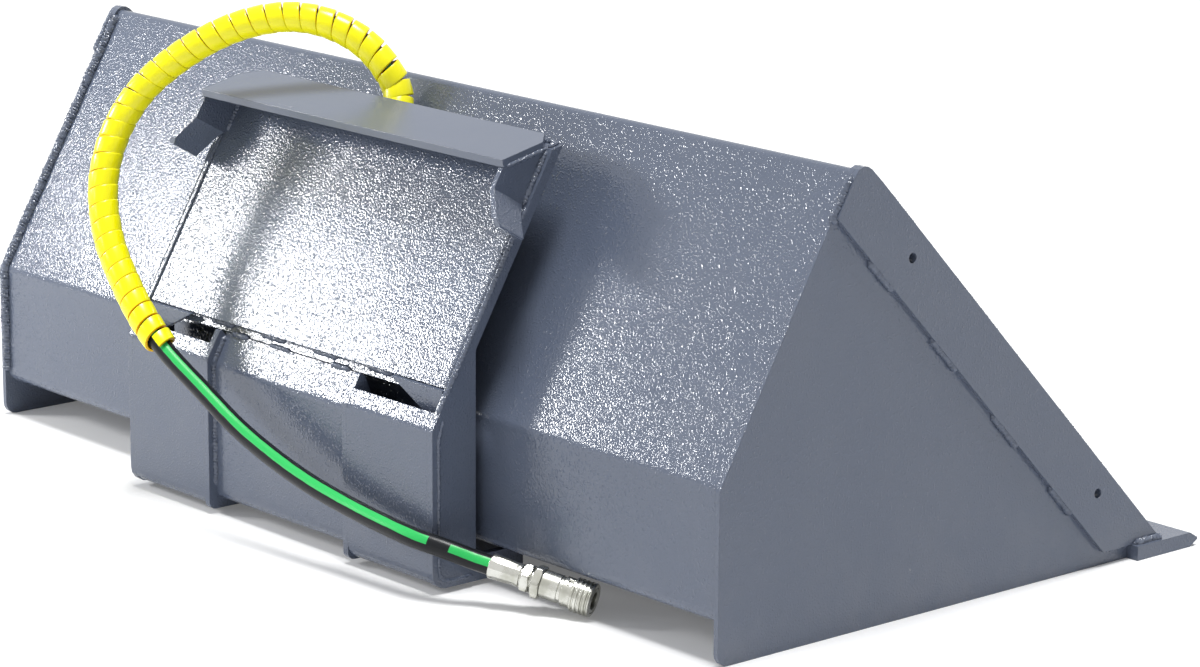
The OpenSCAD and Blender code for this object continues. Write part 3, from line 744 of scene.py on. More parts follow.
@dataclass(frozen=True)
class HoseFinish:
    """Satin black rubber cover, wrapped in cloth as it cured, with one bright stripe.

    The stripe lies half a turn from the UV's start, its widths are shares of a turn, and its one gap is given
    in metres along the hose.
    """

    rubber: Rgb = (0.008, 0.009, 0.011)
    stripe: Rgb = (0.035, 0.52, 0.12)
    stripe_middle: float = 0.5
    stripe_half: float = 0.068
    stripe_fade: float = 0.006
    raggedness: float = 0.02
    worn_share: float = 0.7
    gap_from: float = 1.154
    gap_to: float = 1.176
    roughness: float = 0.25
    cloud_roughness: float = 0.1
    sheen: float = 0.22
    grains: float = 900.0
    wraps: float = 160.0
    wrap_wander: float = 1.5
    wrap_share: float = 0.5
    wrap_strength: float = 0.5
    wrap_mm: float = 0.12

    def stripe_mask(self, sheet: Sheet, uv: Socket, tone: Socket) -> Socket:
        """Where the stripe shows.

        Args:
            sheet: The material's sheet.
            uv: The turn round the hose and the length along it.
            tone: A noise that makes its edges ragged.

        Returns:
            The mask.
        """
        split = sheet.add("ShaderNodeSeparateXYZ")
        sheet.feed(split, 0, uv)
        off = sheet.maths("ABSOLUTE", sheet.minus(split.outputs["X"], self.stripe_middle))
        off = sheet.plus(off, sheet.times(sheet.minus(tone, 0.5), self.raggedness))
        inside = sheet.minus(1.0, sheet.span(off, (self.stripe_half, self.stripe_half + self.stripe_fade)))
        before = sheet.maths("LESS_THAN", split.outputs["Y"], self.gap_from)
        after = sheet.maths("GREATER_THAN", split.outputs["Y"], self.gap_to)
        return sheet.times(inside, sheet.maths("ADD", before, after, clamp=True))

    def make(self, name: str, effects: Effects) -> Material:
        """Builds the material.

        Args:
            name: The material's name.
            effects: The shared effects.

        Returns:
            The material.
        """
        material, sheet, shader = new_material(name)
        grain = effects.use(sheet, Effect.GRAIN, Grains_per_metre=self.grains)
        uv = sheet.add("ShaderNodeUVMap", uv_map=RUN_UV).outputs["UV"]
        mask = self.stripe_mask(sheet, uv, grain.outputs["Tone"])
        worn = sheet.plus(sheet.times(grain.outputs["Height"], 1.0 - self.worn_share), self.worn_share)
        stripe = sheet.mix(worn, rgba(scaled(self.stripe, self.worn_share)), rgba(self.stripe))
        sheet.feed(shader, "Base Color", sheet.mix(mask, rgba(self.rubber), stripe))
        rough = sheet.plus(self.roughness, sheet.times(grain.outputs["Tone"], self.cloud_roughness))
        sheet.feed(shader, "Roughness", rough)
        sheet.feed(shader, "Specular IOR Level", self.sheen)
        wave = sheet.add("ShaderNodeTexWave", wave_type="BANDS", bands_direction="Y")
        sheet.feed(wave, "Scale", self.wraps)
        sheet.feed(wave, "Distortion", self.wrap_wander)
        sheet.feed(wave, "Vector", uv)
        wrap = sheet.plus(sheet.times(wave.outputs["Fac"], self.wrap_share), grain.outputs["Height"])
        sheet.feed(shader, "Normal", sheet.bump(wrap, self.wrap_strength, self.wrap_mm))
        return material


@dataclass(frozen=True)
class GuardFinish:
    """Glossy yellow moulded strip, with painted shade in darker orange on its edge and hose side."""

    colour: Rgb = (1.0, 0.93, 0.0)
    # Painted shade: the darker orange that stands for the shade in the gaps between turns
    deep: Rgb = (0.8, 0.45, 0.0)
    shaded_side: Pair = (0.5, 0.56)
    worn_factor: float = 0.8
    worn_lift: float = 0.1
    roughness: float = 0.26
    scuff_roughness: float = 0.3
    grains: float = 700.0
    grain_strength: float = 0.35
    grain_mm: float = 0.08
    scuffs: float = 260.0
    scuffing: float = 0.5

    def make(self, name: str, effects: Effects) -> Material:
        """Builds the material.

        Args:
            name: The material's name.
            effects: The shared effects.

        Returns:
            The material.
        """
        material, sheet, shader = new_material(name)
        grain = effects.use(sheet, Effect.GRAIN, Grains_per_metre=self.grains)
        scuffs = effects.use(sheet, Effect.SCUFFS, Lines_per_metre=self.scuffs, Amount=self.scuffing)
        run, split = sheet.add("ShaderNodeUVMap", uv_map=RUN_UV), sheet.add("ShaderNodeSeparateXYZ")
        sheet.feed(split, 0, run.outputs["UV"])
        # Painted shade on the band's edge and inside, which show in the gaps between turns
        inner, scuff = sheet.span(split.outputs["X"], self.shaded_side), scuffs.outputs["Mask"]
        strip = sheet.mix(inner, rgba(self.colour), rgba(self.deep))
        worn = sheet.mix(scuff, strip, rgba(scaled(self.colour, self.worn_factor, self.worn_lift)))
        sheet.feed(shader, "Base Color", worn)
        sheet.feed(shader, "Roughness", sheet.plus(self.roughness, sheet.times(scuff, self.scuff_roughness)))
        normal = sheet.bump(grain.outputs["Height"], self.grain_strength, self.grain_mm)
        sheet.feed(shader, "Normal", normal)
        return material


@dataclass
class Finishes:
    """Every finish of the part, made once."""

    paint: Material
    smooth_paint: Material
    weld_paint: Material
    steel: Material
    chrome: Material
    bronze: Material
    zinc: Material
    guard: Material
    hose: Material

    @classmethod
    def make(cls) -> "Finishes":
        """Builds the shared effects and all finishes.

        Returns:
            The finishes.
        """
        effects = Effects()
        effects.build()
        smooth = PaintFinish(gloss_roughness=0.22, peel_mm=0.05, cells=420.0)
        weld = PaintFinish(gloss_roughness=0.1, peel_mm=0.8, cells=360.0, edge_mm=0.2)
        steel = MetalFinish(colour=(0.56, 0.56, 0.55), shade=(0.4, 0.4, 0.4), roughness=0.3)
        chrome = MetalFinish(colour=(0.8, 0.8, 0.82), shade=(0.7, 0.7, 0.72), roughness=0.08, grain_mm=0.004)
        bronze = MetalFinish(colour=(0.62, 0.42, 0.2), shade=(0.45, 0.3, 0.14), roughness=0.35)
        zinc = MetalFinish(colour=(0.62, 0.62, 0.58), shade=(0.42, 0.42, 0.37), roughness=0.22, grain_mm=0.04)
        return cls(
            paint=PaintFinish().make("slate_powder_coat", effects),
            smooth_paint=smooth.make("slate_powder_coat_smooth", effects),
            weld_paint=weld.make("slate_powder_coat_on_weld", effects),
            steel=steel.make("bare_steel", effects),
            chrome=chrome.make("hard_chrome", effects),
            bronze=bronze.make("bearing_bronze", effects),
            zinc=zinc.make("zinc_plate", effects),
            guard=GuardFinish().make("yellow_guard", effects),
            hose=HoseFinish().make("hose_cover", effects),
        )


# Hose, guard and quick coupler


@dataclass
class HoseLine:
    """The hydraulic hose from the latch cylinder's port to the quick coupler, with its spiral guard.

    The guard's crown is given from one edge of the band to the other, as shares of its half width and drops
    below its radius.
    """

    start: Spot = (-9.6, 88.26, 365.08)
    out: Spot = (0.0, 0.50302, 0.864275)
    route: tuple[Spot, ...] = (
        (-36, 125, 428), (-52, 123, 456), (-78, 112, 482), (-111, 93, 499), (-146, 70, 504),
        (-181, 42, 496), (-213, 14, 478), (-242, -13, 452), (-262, -38, 423), (-272, -60, 388),
        (-270, -79, 350), (-258, -92, 312), (-233, -101, 272), (-200, -105, 236), (-167, -106, 205),
        (-131, -104, 177), (-73, -100, 146), (-19, -97, 119), (35, -94, 99), (89, -91, 84),
        (140, -88, 74), (192, -86, 67), (244, -82, 61), (279, -68, 54),
    )
    coupler_start: Spot = (319, -42, 41)
    coupler_end: Spot = (411, 9, 17.5)
    straight_knots: int = 3
    curve_steps: int = 14
    line_step: float = 2.5
    hose_r: float = 10.0
    hose_sides: int = 40
    stripe_way: Spot = (0.868, -0.492, 0.472)
    guard_r: float = 16.0
    guard_bore: float = 12.4
    guard_crown: Pairs = (
        (-1.0, 0.7), (-0.96, 0.2), (-0.8, 0.05), (0.0, 0.2), (0.8, 0.55), (0.96, 0.8), (1.0, 1.2),
    )
    guard_turns: int = 38
    guard_sides: int = 36
    guard_from: int = 2
    guard_to: int = 18
    guard_curve_steps: int = 20
    guard_step: float = 1.0
    band_share: float = 0.94
    band_crease: float = 50.0
    tight_turns: float = 4.0
    tight_share: float = 0.2

    def coupler_way(self) -> Vector:
        """The way that the coupler points."""
        return (Vector(self.coupler_end) - Vector(self.coupler_start)).normalized()

    def knots(self) -> list[Vector]:
        """The points that the hose passes, straight at both its ends.

        Returns:
            The points in metres.
        """
        out, way, steps = Vector(self.out), self.coupler_way(), range(self.straight_knots)
        first = [Vector(self.start) + out * self.hose_r * k for k in steps]
        last = [Vector(self.coupler_start) - way * self.hose_r * k for k in reversed(steps)]
        return [place(*p) for p in (*first, *self.route, *last)]

    def line(self) -> list[Vector]:
        """The hose's middle line at even steps."""
        return resample(through(self.knots(), self.curve_steps), self.line_step * MM)

    def guard_line(self) -> list[Vector]:
        """The middle line of the stretch under the guard, at even steps."""
        stretch = self.knots()[self.guard_from : self.guard_to + 1]
        return resample(through(stretch, self.guard_curve_steps), self.guard_step * MM)

    def length(self) -> float:
        """The hose's length along its middle line, in metres."""
        line = self.line()
        return sum((b - a).length for a, b in zip(line, line[1:]))

    def tube(self, finish: Material) -> Piece:
        """Makes the hose, turned so that its stripe faces up and back.

        Args:
            finish: The rubber.

        Returns:
            The hose.
        """
        line, stripe = self.line(), Vector(self.stripe_way).normalized()
        rings: list[Ring] = []
        runs: list[float] = []
        run = 0.0
        for i, (way, _, _) in enumerate(carried_frames(line)):
            if i:
                run += (line[i] - line[i - 1]).length
            runs.append(run)
            a = -(stripe - way * way.dot(stripe)).normalized()
            rings.append(round_ring(line[i], a, way.cross(a), self.hose_r, self.hose_sides))
        skin = Skin("hose_tube")
        skin.tube(rings, runs=runs)
        return skin.build(Body.FRAME, Slot.RUBBER, finish)

    def guard(self, finish: Material) -> Piece:
        """Makes the guard as one flat band wound round the hose, narrower over its last turns.

        Args:
            finish: The moulded plastic.

        Returns:
            The guard.
        """
        line = self.guard_line()
        frames = carried_frames(line)
        count, total = len(line) - 1, self.guard_turns * self.guard_sides
        long = count * self.guard_step
        half_band = long / self.guard_turns * self.band_share / 2
        profile = [(u, self.guard_r - drop) for u, drop in self.guard_crown]
        profile += [(u, self.guard_bore) for u in (1.0, 0.0, -1.0)]
        rings: list[Ring] = []
        for j in range(total + 1):
            d = (half_band + (long - 2 * half_band) * j / total) / self.guard_step
            i = min(count - 1, int(d))
            centre = line[i].lerp(line[i + 1], d - i)
            way, a, b = frames[i]
            out = spoke(a, b, math.tau * j / self.guard_sides)
            tight = max(0.0, 1.0 - (total - j) / (self.tight_turns * self.guard_sides))
            reach = half_band * (1.0 - self.tight_share * tight)
            rings.append([centre + way * (u * reach * MM) + out * (r * MM) for u, r in profile])
        skin = Skin("spiral_guard_band")
        skin.tube(rings)
        return skin.build(Body.FRAME, Slot.GUARD, finish, self.band_crease)


@dataclass
class Turned:
    """A part made of rings round one axis, each ring round or with flats."""

    origin: Vector
    way: Vector
    sides: int = 72
    notch_half: float = 0.24

    def radius(self, angle: float, r: float, flats: int, across: float, notch: float) -> float:
        """The radius at one angle of a ring.

        Args:
            angle: The angle from the middle of the first flat or of the notch.
            r: Radius where it is round, in millimetres.
            flats: Number of flats, or none.
            across: Distance across two opposite flats.
            notch: Depth of the narrow notch.

        Returns:
            The radius in millimetres.
        """
        if notch and abs((angle + math.pi) % math.tau - math.pi) < self.notch_half:
            return r - notch
        if not flats:
            return r
        wedge = math.tau / flats
        off = (angle + wedge / 2) % wedge - wedge / 2
        return min(r, across / 2 / math.cos(off))

    def ring(
        self, d: float, r: float, flats: int = 0, across: float = 0.0, turn: float = 0.0, notch: float = 0.0
    ) -> Ring:
        """One ring.

        Args:
            d: Distance along the axis from the origin, in millimetres.
            r: Radius in millimetres.
            flats: Number of flats, or none.
            across: Distance across two opposite flats.
            turn: Angle of the first flat's middle or of the notch, in degrees.
            notch: Depth of a narrow notch.

        Returns:
            The ring's points.
        """
        a = self.way.cross(Vector((0, 0, 1))).normalized()
        b = self.way.cross(a)
        out: Ring = []
        for k in range(self.sides):
            t = math.tau * k / self.sides
            radius = self.radius(t - math.radians(turn), r, flats, across, notch)
            out.append(self.origin + self.way * (d * MM) + spoke(a, b, t) * (radius * MM))
        return out

    def rings(self, rows: Sequence[Pair]) -> list[Ring]:
        """Round rings, from pairs of a distance along the axis and a radius."""
        return [self.ring(d, r) for d, r in rows]


@dataclass(frozen=True)
class CrimpedFerrule:
    """A ferrule with round lips and long pressed flats between them."""

    length: float
    big: float
    small: float
    flats: int = 10
    first_flat: float = 11.0
    pressed: float = 0.935
    crease: float = 25.0

    def rows(self) -> list[Spot]:
        """The ferrule's rows from the hose's end to the fitting's.

        Returns:
            For each row its place along, its diameter, and the share of that across two flats, or 0.
        """
        long, big, small = self.length, self.big, self.small
        hose_lip = [(0.0, big - 2.4, 0.0), (0.25, big - 0.5, 0.0), (1.4, big, 0.0), (3.2, big, 0.0)]
        pressed = [(6.5, big - 0.3, self.pressed), (long / 2, (big + small) / 2, self.pressed)]
        pressed += [(long - 7.0, small, self.pressed)]
        fitting_lip = [(long - 3.8, small, 0.0), (long - 1.2, small, 0.0)]
        fitting_lip += [(long - 0.3, small - 0.8, 0.0), (long, small - 2.6, 0.0)]
        return [*hose_lip, (4.6, big - 0.2, 0.955), *pressed, (long - 5.0, small, 0.96), *fitting_lip]

    def make(self, name: str, turned: Turned, flip: bool, finish: Material) -> Piece:
        """Makes the ferrule.

        Args:
            name: The piece's name.
            turned: The axis that it stands on.
            flip: Whether the hose's end comes last.
            finish: The plating.

        Returns:
            The ferrule.
        """
        rings: list[Ring] = []
        for d, width, share in self.rows():
            at, flats = self.length - d if flip else d, self.flats if share else 0
            rings.append(turned.ring(at, width / 2, flats, width * share, self.first_flat))
        skin = Skin(name)
        skin.tube(rings[::-1] if flip else rings)
        return skin.build(Body.FRAME, Slot.ZINC, finish, self.crease)


@dataclass
class QuickCoupler:
    """The flat-faced quick coupler at the hose's far end, and the two crimped ferrules."""

    hose: HoseLine
    far: CrimpedFerrule = CrimpedFerrule(length=32.3, big=25.0, small=23.0)
    near: CrimpedFerrule = CrimpedFerrule(length=38.0, big=25.0, small=23.5)
    total_l: float = 107.78
    crease: float = 28.0
    spigot_r: float = 10.0
    spigot_bore: float = 4.0
    nut_flats: int = 6
    nut_l: float = 9.0
    nut_face_share: float = 0.97
    nut_lip: float = 1.5
    nut_corner: float = 0.05
    nut_chamfer: float = 1.6
    nut_chamfer_shares: tuple[float, ...] = (0.35, 0.7, 1.0)
    hex_at: float = 1.8
    hex_w: float = 27.0
    hex_turn: float = 8.0
    big_hex_at: float = 13.5
    big_hex_w: float = 30.2
    big_hex_turn: float = 23.0
    neck_d: float = 27.9
    neck_bevel: float = 1.2
    neck_lead: float = 0.5
    neck_round: float = 0.9
    lock_gap: float = 3.3
    seat_d: float = 25.9
    seat_bevel: float = 1.0
    edge: float = 0.8
    mouth_d: float = 17.0
    mouth_l: float = 14.0
    mouth_step: float = 1.2
    valve_l: float = 16.5
    poppet: Pairs = ((16.5, 5.2), (12.5, 5.0), (12.2, 4.6), (12.2, 0.3))
    sleeve_d: float = 34.0
    sleeve_l: float = 31.26
    sleeve_air: float = 0.06
    sleeve_plain: float = 2.4
    sleeve_bevel: float = 0.7
    sleeve_front: Pairs = ((2.0, 0.0), (0.6, 0.5), (0.0, 1.6))
    notch_from: float = 4.5
    notch_to: float = 10.4
    notch_edge: float = 0.1
    notch_depth: float = 1.6
    notch_turn: float = -62.0
    grip_from: float = 10.5
    grip_rise: float = 1.0
    grip_lead: float = 1.0
    grip_rings: int = 4
    grip_end: float = 2.4
    groove: Pairs = ((0.3, 0.0), (0.42, 1.2), (0.66, 1.3), (0.82, 0.1), (0.9, 0.0))

    def axis(self) -> Turned:
        """The coupler's own axis, from the hose outwards."""
        return Turned(place(*self.hose.coupler_start), self.hose.coupler_way())

    def far_ferrule(self, finish: Material) -> Piece:
        """Makes the ferrule between hose and coupler."""
        return self.far.make("crimped_ferrule_far", self.axis(), False, finish)

    def near_ferrule(self, finish: Material) -> Piece:
        """Makes the ferrule between the cylinder's adapter and the hose.

        Args:
            finish: The plating.

        Returns:
            The ferrule.
        """
        out = Vector(self.hose.out)
        origin = place(*(Vector(self.hose.start) - out * self.near.length))
        return self.near.make("crimped_ferrule_near", Turned(origin, out), True, finish)

    def nut(self, axis: Turned, start: float, across: float, turn: float) -> list[Ring]:
        """Rings of a six-sided nut with both its ends chamfered.

        Args:
            axis: The coupler's axis.
            start: Where it starts on the axis.
            across: Its width across flats.
            turn: Angle of the first flat's middle, in degrees.

        Returns:
            The rings.
        """
        end = start + self.nut_l
        corner = across / 2 / math.cos(math.pi / self.nut_flats) - self.nut_corner
        face = across / 2 * self.nut_face_share
        shares = self.nut_chamfer_shares
        rows = [(start + t * self.nut_chamfer, t) for t in shares]
        rows += [(end - t * self.nut_chamfer, t) for t in reversed(shares)]
        sides = [axis.ring(d, face + (corner - face) * t, self.nut_flats, across, turn) for d, t in rows]
        hole = face - self.nut_lip
        return [*axis.rings([(start, hole), (start, face)]), *sides, *axis.rings([(end, face), (end, hole)])]

    def body(self, finish: Material) -> Piece:
        """Makes the coupler's body: spigot, two nuts, neck with its lock gap, sleeve's seat and mouth.

        Args:
            finish: The plating.

        Returns:
            The body.
        """
        axis, start, end, spigot, edge = self.axis(), self.far.length, self.total_l, self.spigot_r, self.edge
        neck, seat, mouth = self.neck_d / 2, self.seat_d / 2, self.mouth_d / 2
        hex_at, big_at = start + self.hex_at, start + self.big_hex_at
        neck_at, neck_end = big_at + self.nut_l, end - self.sleeve_l - self.lock_gap
        step = mouth - self.mouth_step
        rings = axis.rings([(start, self.spigot_bore), (start, spigot), (hex_at, spigot)])
        rings += self.nut(axis, hex_at, self.hex_w, self.hex_turn)
        rings += axis.rings([(hex_at + self.nut_l, spigot), (big_at, spigot)])
        rings += self.nut(axis, big_at, self.big_hex_w, self.big_hex_turn)
        rings += axis.rings([(neck_at, neck - self.neck_bevel), (neck_at + self.neck_lead, neck)])
        rings += axis.rings([(neck_end - edge, neck), (neck_end, neck - self.neck_round), (neck_end, seat)])
        rings += axis.rings([(end - self.seat_bevel, seat), (end, seat - self.seat_bevel)])
        rings += axis.rings([(end, mouth + edge), (end - edge, mouth), (end - self.mouth_l, mouth)])
        rings += axis.rings([(end - self.mouth_l, step), (end - self.valve_l, step)])
        rings += axis.rings([(end - d, r) for d, r in self.poppet])
        skin = Skin("coupler_nuts_and_body")
        skin.tube(rings)
        return skin.build(Body.FRAME, Slot.ZINC, finish, self.crease)

    def sleeve(self, finish: Material) -> Piece:
        """Makes the sliding sleeve with its lock notch and its gripping rings.

        Args:
            finish: The plating.

        Returns:
            The sleeve.
        """
        axis, r, bore = self.axis(), self.sleeve_d / 2, self.seat_d / 2 + self.sleeve_air
        start, end, plain = self.total_l - self.sleeve_l, self.total_l, r - self.sleeve_plain
        grip, bevel = start + self.grip_from, self.sleeve_bevel
        rings = axis.rings([(start, bore), (start, plain - bevel), (start + bevel, plain)])
        rings += axis.rings([(start + self.notch_from, plain)])
        for d in (start + self.notch_from + self.notch_edge, start + self.notch_to):
            rings.append(axis.ring(d, plain, turn=self.notch_turn, notch=self.notch_depth))
        rings += axis.rings([(grip, r - self.grip_rise), (grip + bevel, r)])
        pitch = (end - self.grip_end - grip) / self.grip_rings
        for k in range(self.grip_rings):
            d = grip + self.grip_lead + pitch * k
            rings += axis.rings([(d + pitch * share, r - drop) for share, drop in self.groove])
        rings += axis.rings([(end - back, r - drop) for back, drop in self.sleeve_front])
        rings += axis.rings([(end, bore)])
        skin = Skin("coupler_grip_sleeve")
        skin.tube(rings, closed=True)
        return skin.build(Body.SLEEVE, Slot.ZINC, finish, self.crease)


# Weld seams


@dataclass(frozen=True)
class Seam:
    """One weld bead: where it runs, the way its crown faces, its radius, and its stitches if it has any."""

    points: tuple[Vector, ...]
    out: Spot
    size: float
    stitch: float = 0.0
    gap: float = 0.0


@dataclass(frozen=True)
class WeldBeads:
    """Makes weld beads with curved ripples.

    Rates are per millimetre of bead, shares are parts of its size, and the seeds only set where its
    unevenness is read from.
    """

    step: float = 1.1
    fewest_points: int = 8
    rows: int = 12
    crease: float = 60.0
    ripple: float = 3.6
    ripple_curl: float = 0.55
    ripple_wander: float = 0.5
    ripple_rate: float = 0.3
    wander_rate: float = 0.045
    wander_seed: float = 0.3
    lump_rate: float = 0.42
    lump_spread: float = 1.7
    plain_share: float = 0.76
    ripple_share: float = 0.3
    wander_share: float = 0.14
    lump_share: float = 0.3
    end_start: float = 1.5
    end_points: float = 5.0
    seam_seed: float = 7.3
    stitch_seed: float = 1.9

    def stitched(self, seam: Seam) -> list[list[Vector]]:
        """The stretches of a seam, whole or in stitches.

        Args:
            seam: The seam.

        Returns:
            The points of each stretch at even steps.
        """
        line = resample(seam.points, self.step * MM)
        if not seam.stitch:
            return [line]
        on, off = round(seam.stitch / self.step), round(seam.gap / self.step)
        stretches = [line[i : i + on] for i in range(0, len(line), on + off)]
        return [stretch for stretch in stretches if len(stretch) > self.fewest_points]

    def radius(self, run: float, angle: float, size: float, seed: float) -> float:
        """The uneven radius of a bead, without its rounded ends.

        Args:
            run: Millimetres from its start.
            angle: Angle round it, from its crown.
            size: Its plain radius, in millimetres.
            seed: Where its unevenness is read from.

        Returns:
            The radius as a share of the plain one.
        """
        wander = noise.noise(Vector((run * self.wander_rate, seed, self.wander_seed)))
        shake = noise.noise(Vector((run * self.ripple_rate, seed, angle)))
        phase = (run + self.ripple_curl * size * math.cos(angle) + self.ripple_wander * shake) / self.ripple
        wave = 1.0 - abs(2.0 * (phase - math.floor(phase)) - 1.0) ** 2
        sway, swing = self.lump_spread * math.cos(angle), self.lump_spread * math.sin(angle)
        lump = noise.noise(Vector((run * self.lump_rate, seed + sway, swing)))
        even = self.plain_share + self.ripple_share * wave
        return even + self.wander_share * wander + self.lump_share * lump

    def bead(self, skin: Skin, line: Sequence[Vector], seam: Seam, seed: float) -> None:
        """Adds one bead to a skin.

        Args:
            skin: The mesh that it goes into.
            line: Its middle line at even steps.
            seam: The seam that it belongs to.
            seed: Where its unevenness is read from.
        """
        rings: list[Ring] = []
        run, last = 0.0, len(line) - 1
        for i, (_, a, b) in enumerate(carried_frames(line, Vector(seam.out).normalized())):
            if i:
                run += (line[i] - line[i - 1]).length / MM
            size = seam.size * min(1.0, (min(i, last - i) + self.end_start) / self.end_points)
            ring: Ring = []
            for k in range(self.rows):
                t = math.tau * k / self.rows
                ring.append(line[i] + spoke(a, b, t) * (size * self.radius(run, t, seam.size, seed) * MM))
            rings.append(ring)
        skin.tube(rings)

    def make(self, name: str, body: Body, seams: Sequence[Seam], finish: Material) -> Piece:
        """Makes one object of many beads.

        Args:
            name: Its name.
            body: The body that it moves with.
            seams: The seams.
            finish: The paint over them.

        Returns:
            The beads.
        """
        skin = Skin(name)
        for j, seam in enumerate(seams):
            for k, line in enumerate(self.stitched(seam)):
                self.bead(skin, line, seam, self.seam_seed * j + self.stitch_seed * k)
        return skin.build(body, Slot.PAINT, finish, self.crease)


@dataclass(frozen=True)
class BucketSeams:
    """Where the bucket's weld beads run, in millimetres.

    Pairs are Y and Z, but the fillets are two heights, and the striker's sides are X and the way that the
    bead faces.
    """

    half_w: float = 600.0
    side_t: float = 6.0
    cheek_t: float = 6.0
    # The cheek's rear and front edges, as Y at the ground and the slope of Y against Z
    cheek_rear: float = 527.2
    cheek_front: float = 609.4
    cheek_slope: float = 0.971
    back_heights: tuple[float, ...] = (441, 300, 172)
    back_foot: Pairs = ((-0.3, 160), (0, 50))
    back_left_size: float = 6.4
    back_right_size: float = 2.2
    inner_step: float = 5.8
    inner_heights: tuple[float, ...] = (432, 300, 178)
    inner_floor: Pairs = ((5.4, 160), (5, 60), (8, 48), (18, 43), (430, 43), (564, 20.5), (588, 20))
    under_floor: Pairs = ((14, 38), (430, 38), (545, 18))
    front_heights: tuple[float, ...] = (18, 200, 427)
    front_drop: float = 0.6
    cheek_top: Pairs = ((137.5, 400), (132.4, 404.5), (154.5, 442))
    cheek_foot: Pairs = ((556, 15), (597, 15))
    edge_half: float = 588.0
    edge_front: Pair = (591.5, 15.5)
    edge_rear: Pair = (552.6, 15.5)
    arm_x: float = 180.0
    lug_outside: float = 15.3
    lug_foot: Pairs = ((301, 38), (359, 38))
    striker_sides: Pairs = ((114, -1.0), (130, 1.0))
    striker_half: float = 20.0
    fillet_out: float = 1.2
    fillets: Pairs = ((359, 326), (272, 235), (183, 145), (96, 62))
    fillet_foot: Pairs = ((554, 15.6), (514, 15.6))

    def side_seams(self, side: Side) -> list[Seam]:
        """The seams of one side plate and its cheek.

        Args:
            side: The side.

        Returns:
            The seams.
        """
        s = side.value
        x, edge, outside = s * (self.half_w - self.side_t), s * self.half_w, s * (self.half_w + self.cheek_t)
        size = self.back_left_size if side is Side.LEFT else self.back_right_size
        back = [(slope_y(z), z) for z in self.back_heights]
        inner = [(slope_y(z) + self.inner_step, z) for z in self.inner_heights]
        front = [(self.cheek_front - z * self.cheek_slope, z - self.front_drop) for z in self.front_heights]
        return [
            Seam(upright(x, (*back, *self.back_foot)), (-s, -1.0, 0.4), size),
            Seam(upright(x, (*inner, *self.inner_floor)), (-s, 0.6, 0.8), 3.6),
            Seam(upright(x, self.under_floor), (-s, 0.0, -1.0), 3.4),
            Seam(upright(edge, front), (0.0, 1.0, 1.0), 3.4),
            Seam(upright(edge, self.cheek_top), (s, -0.7, 0.2), 4.2),
            Seam(upright(outside, self.cheek_foot), (s, 0.0, 1.0), 5.6),
        ]

    def shell_seams(self) -> list[Seam]:
        """The seams between shell, side plates, cheeks, cutting edge and lugs.

        Returns:
            The seams.
        """
        seams = [*self.side_seams(Side.LEFT), *self.side_seams(Side.RIGHT)]
        edges = ((self.edge_front, (0.0, 1.0, 1.0), 4.0), (self.edge_rear, (0.0, -1.0, -0.6), 3.0))
        for pair, out, size in edges:
            ends = tuple(place(x, *pair) for x in (-self.edge_half, self.edge_half))
            seams.append(Seam(ends, out, size))
        for side in Side:
            for way in (-1.0, 1.0):
                x = side.value * self.arm_x + way * self.lug_outside
                seams.append(Seam(upright(x, self.lug_foot), (way, 0.0, -1.0), 3.0))
        for x, way in self.striker_sides:
            foot = ((0, LATCH_S - self.striker_half), (0, LATCH_S + self.striker_half))
            seams.append(Seam(leaning(BACK_REF, x, foot), (way, -0.86, 0.5), 3.0))
        return seams

    def cheek_seams(self) -> list[Seam]:
        """The four short fillets along each cheek's back edge, and the one under its foot.

        Returns:
            The seams.
        """
        seams: list[Seam] = []
        for side in Side:
            s = side.value
            x = s * (self.half_w + self.fillet_out)
            for ends in self.fillets:
                run = [(self.cheek_rear - z * self.cheek_slope, z) for z in ends]
                seams.append(Seam(upright(x, run), (s, -0.7, -0.7), 4.6))
            seams.append(Seam(upright(x, self.fillet_foot), (s, 0.0, -1.0), 3.2))
        return seams


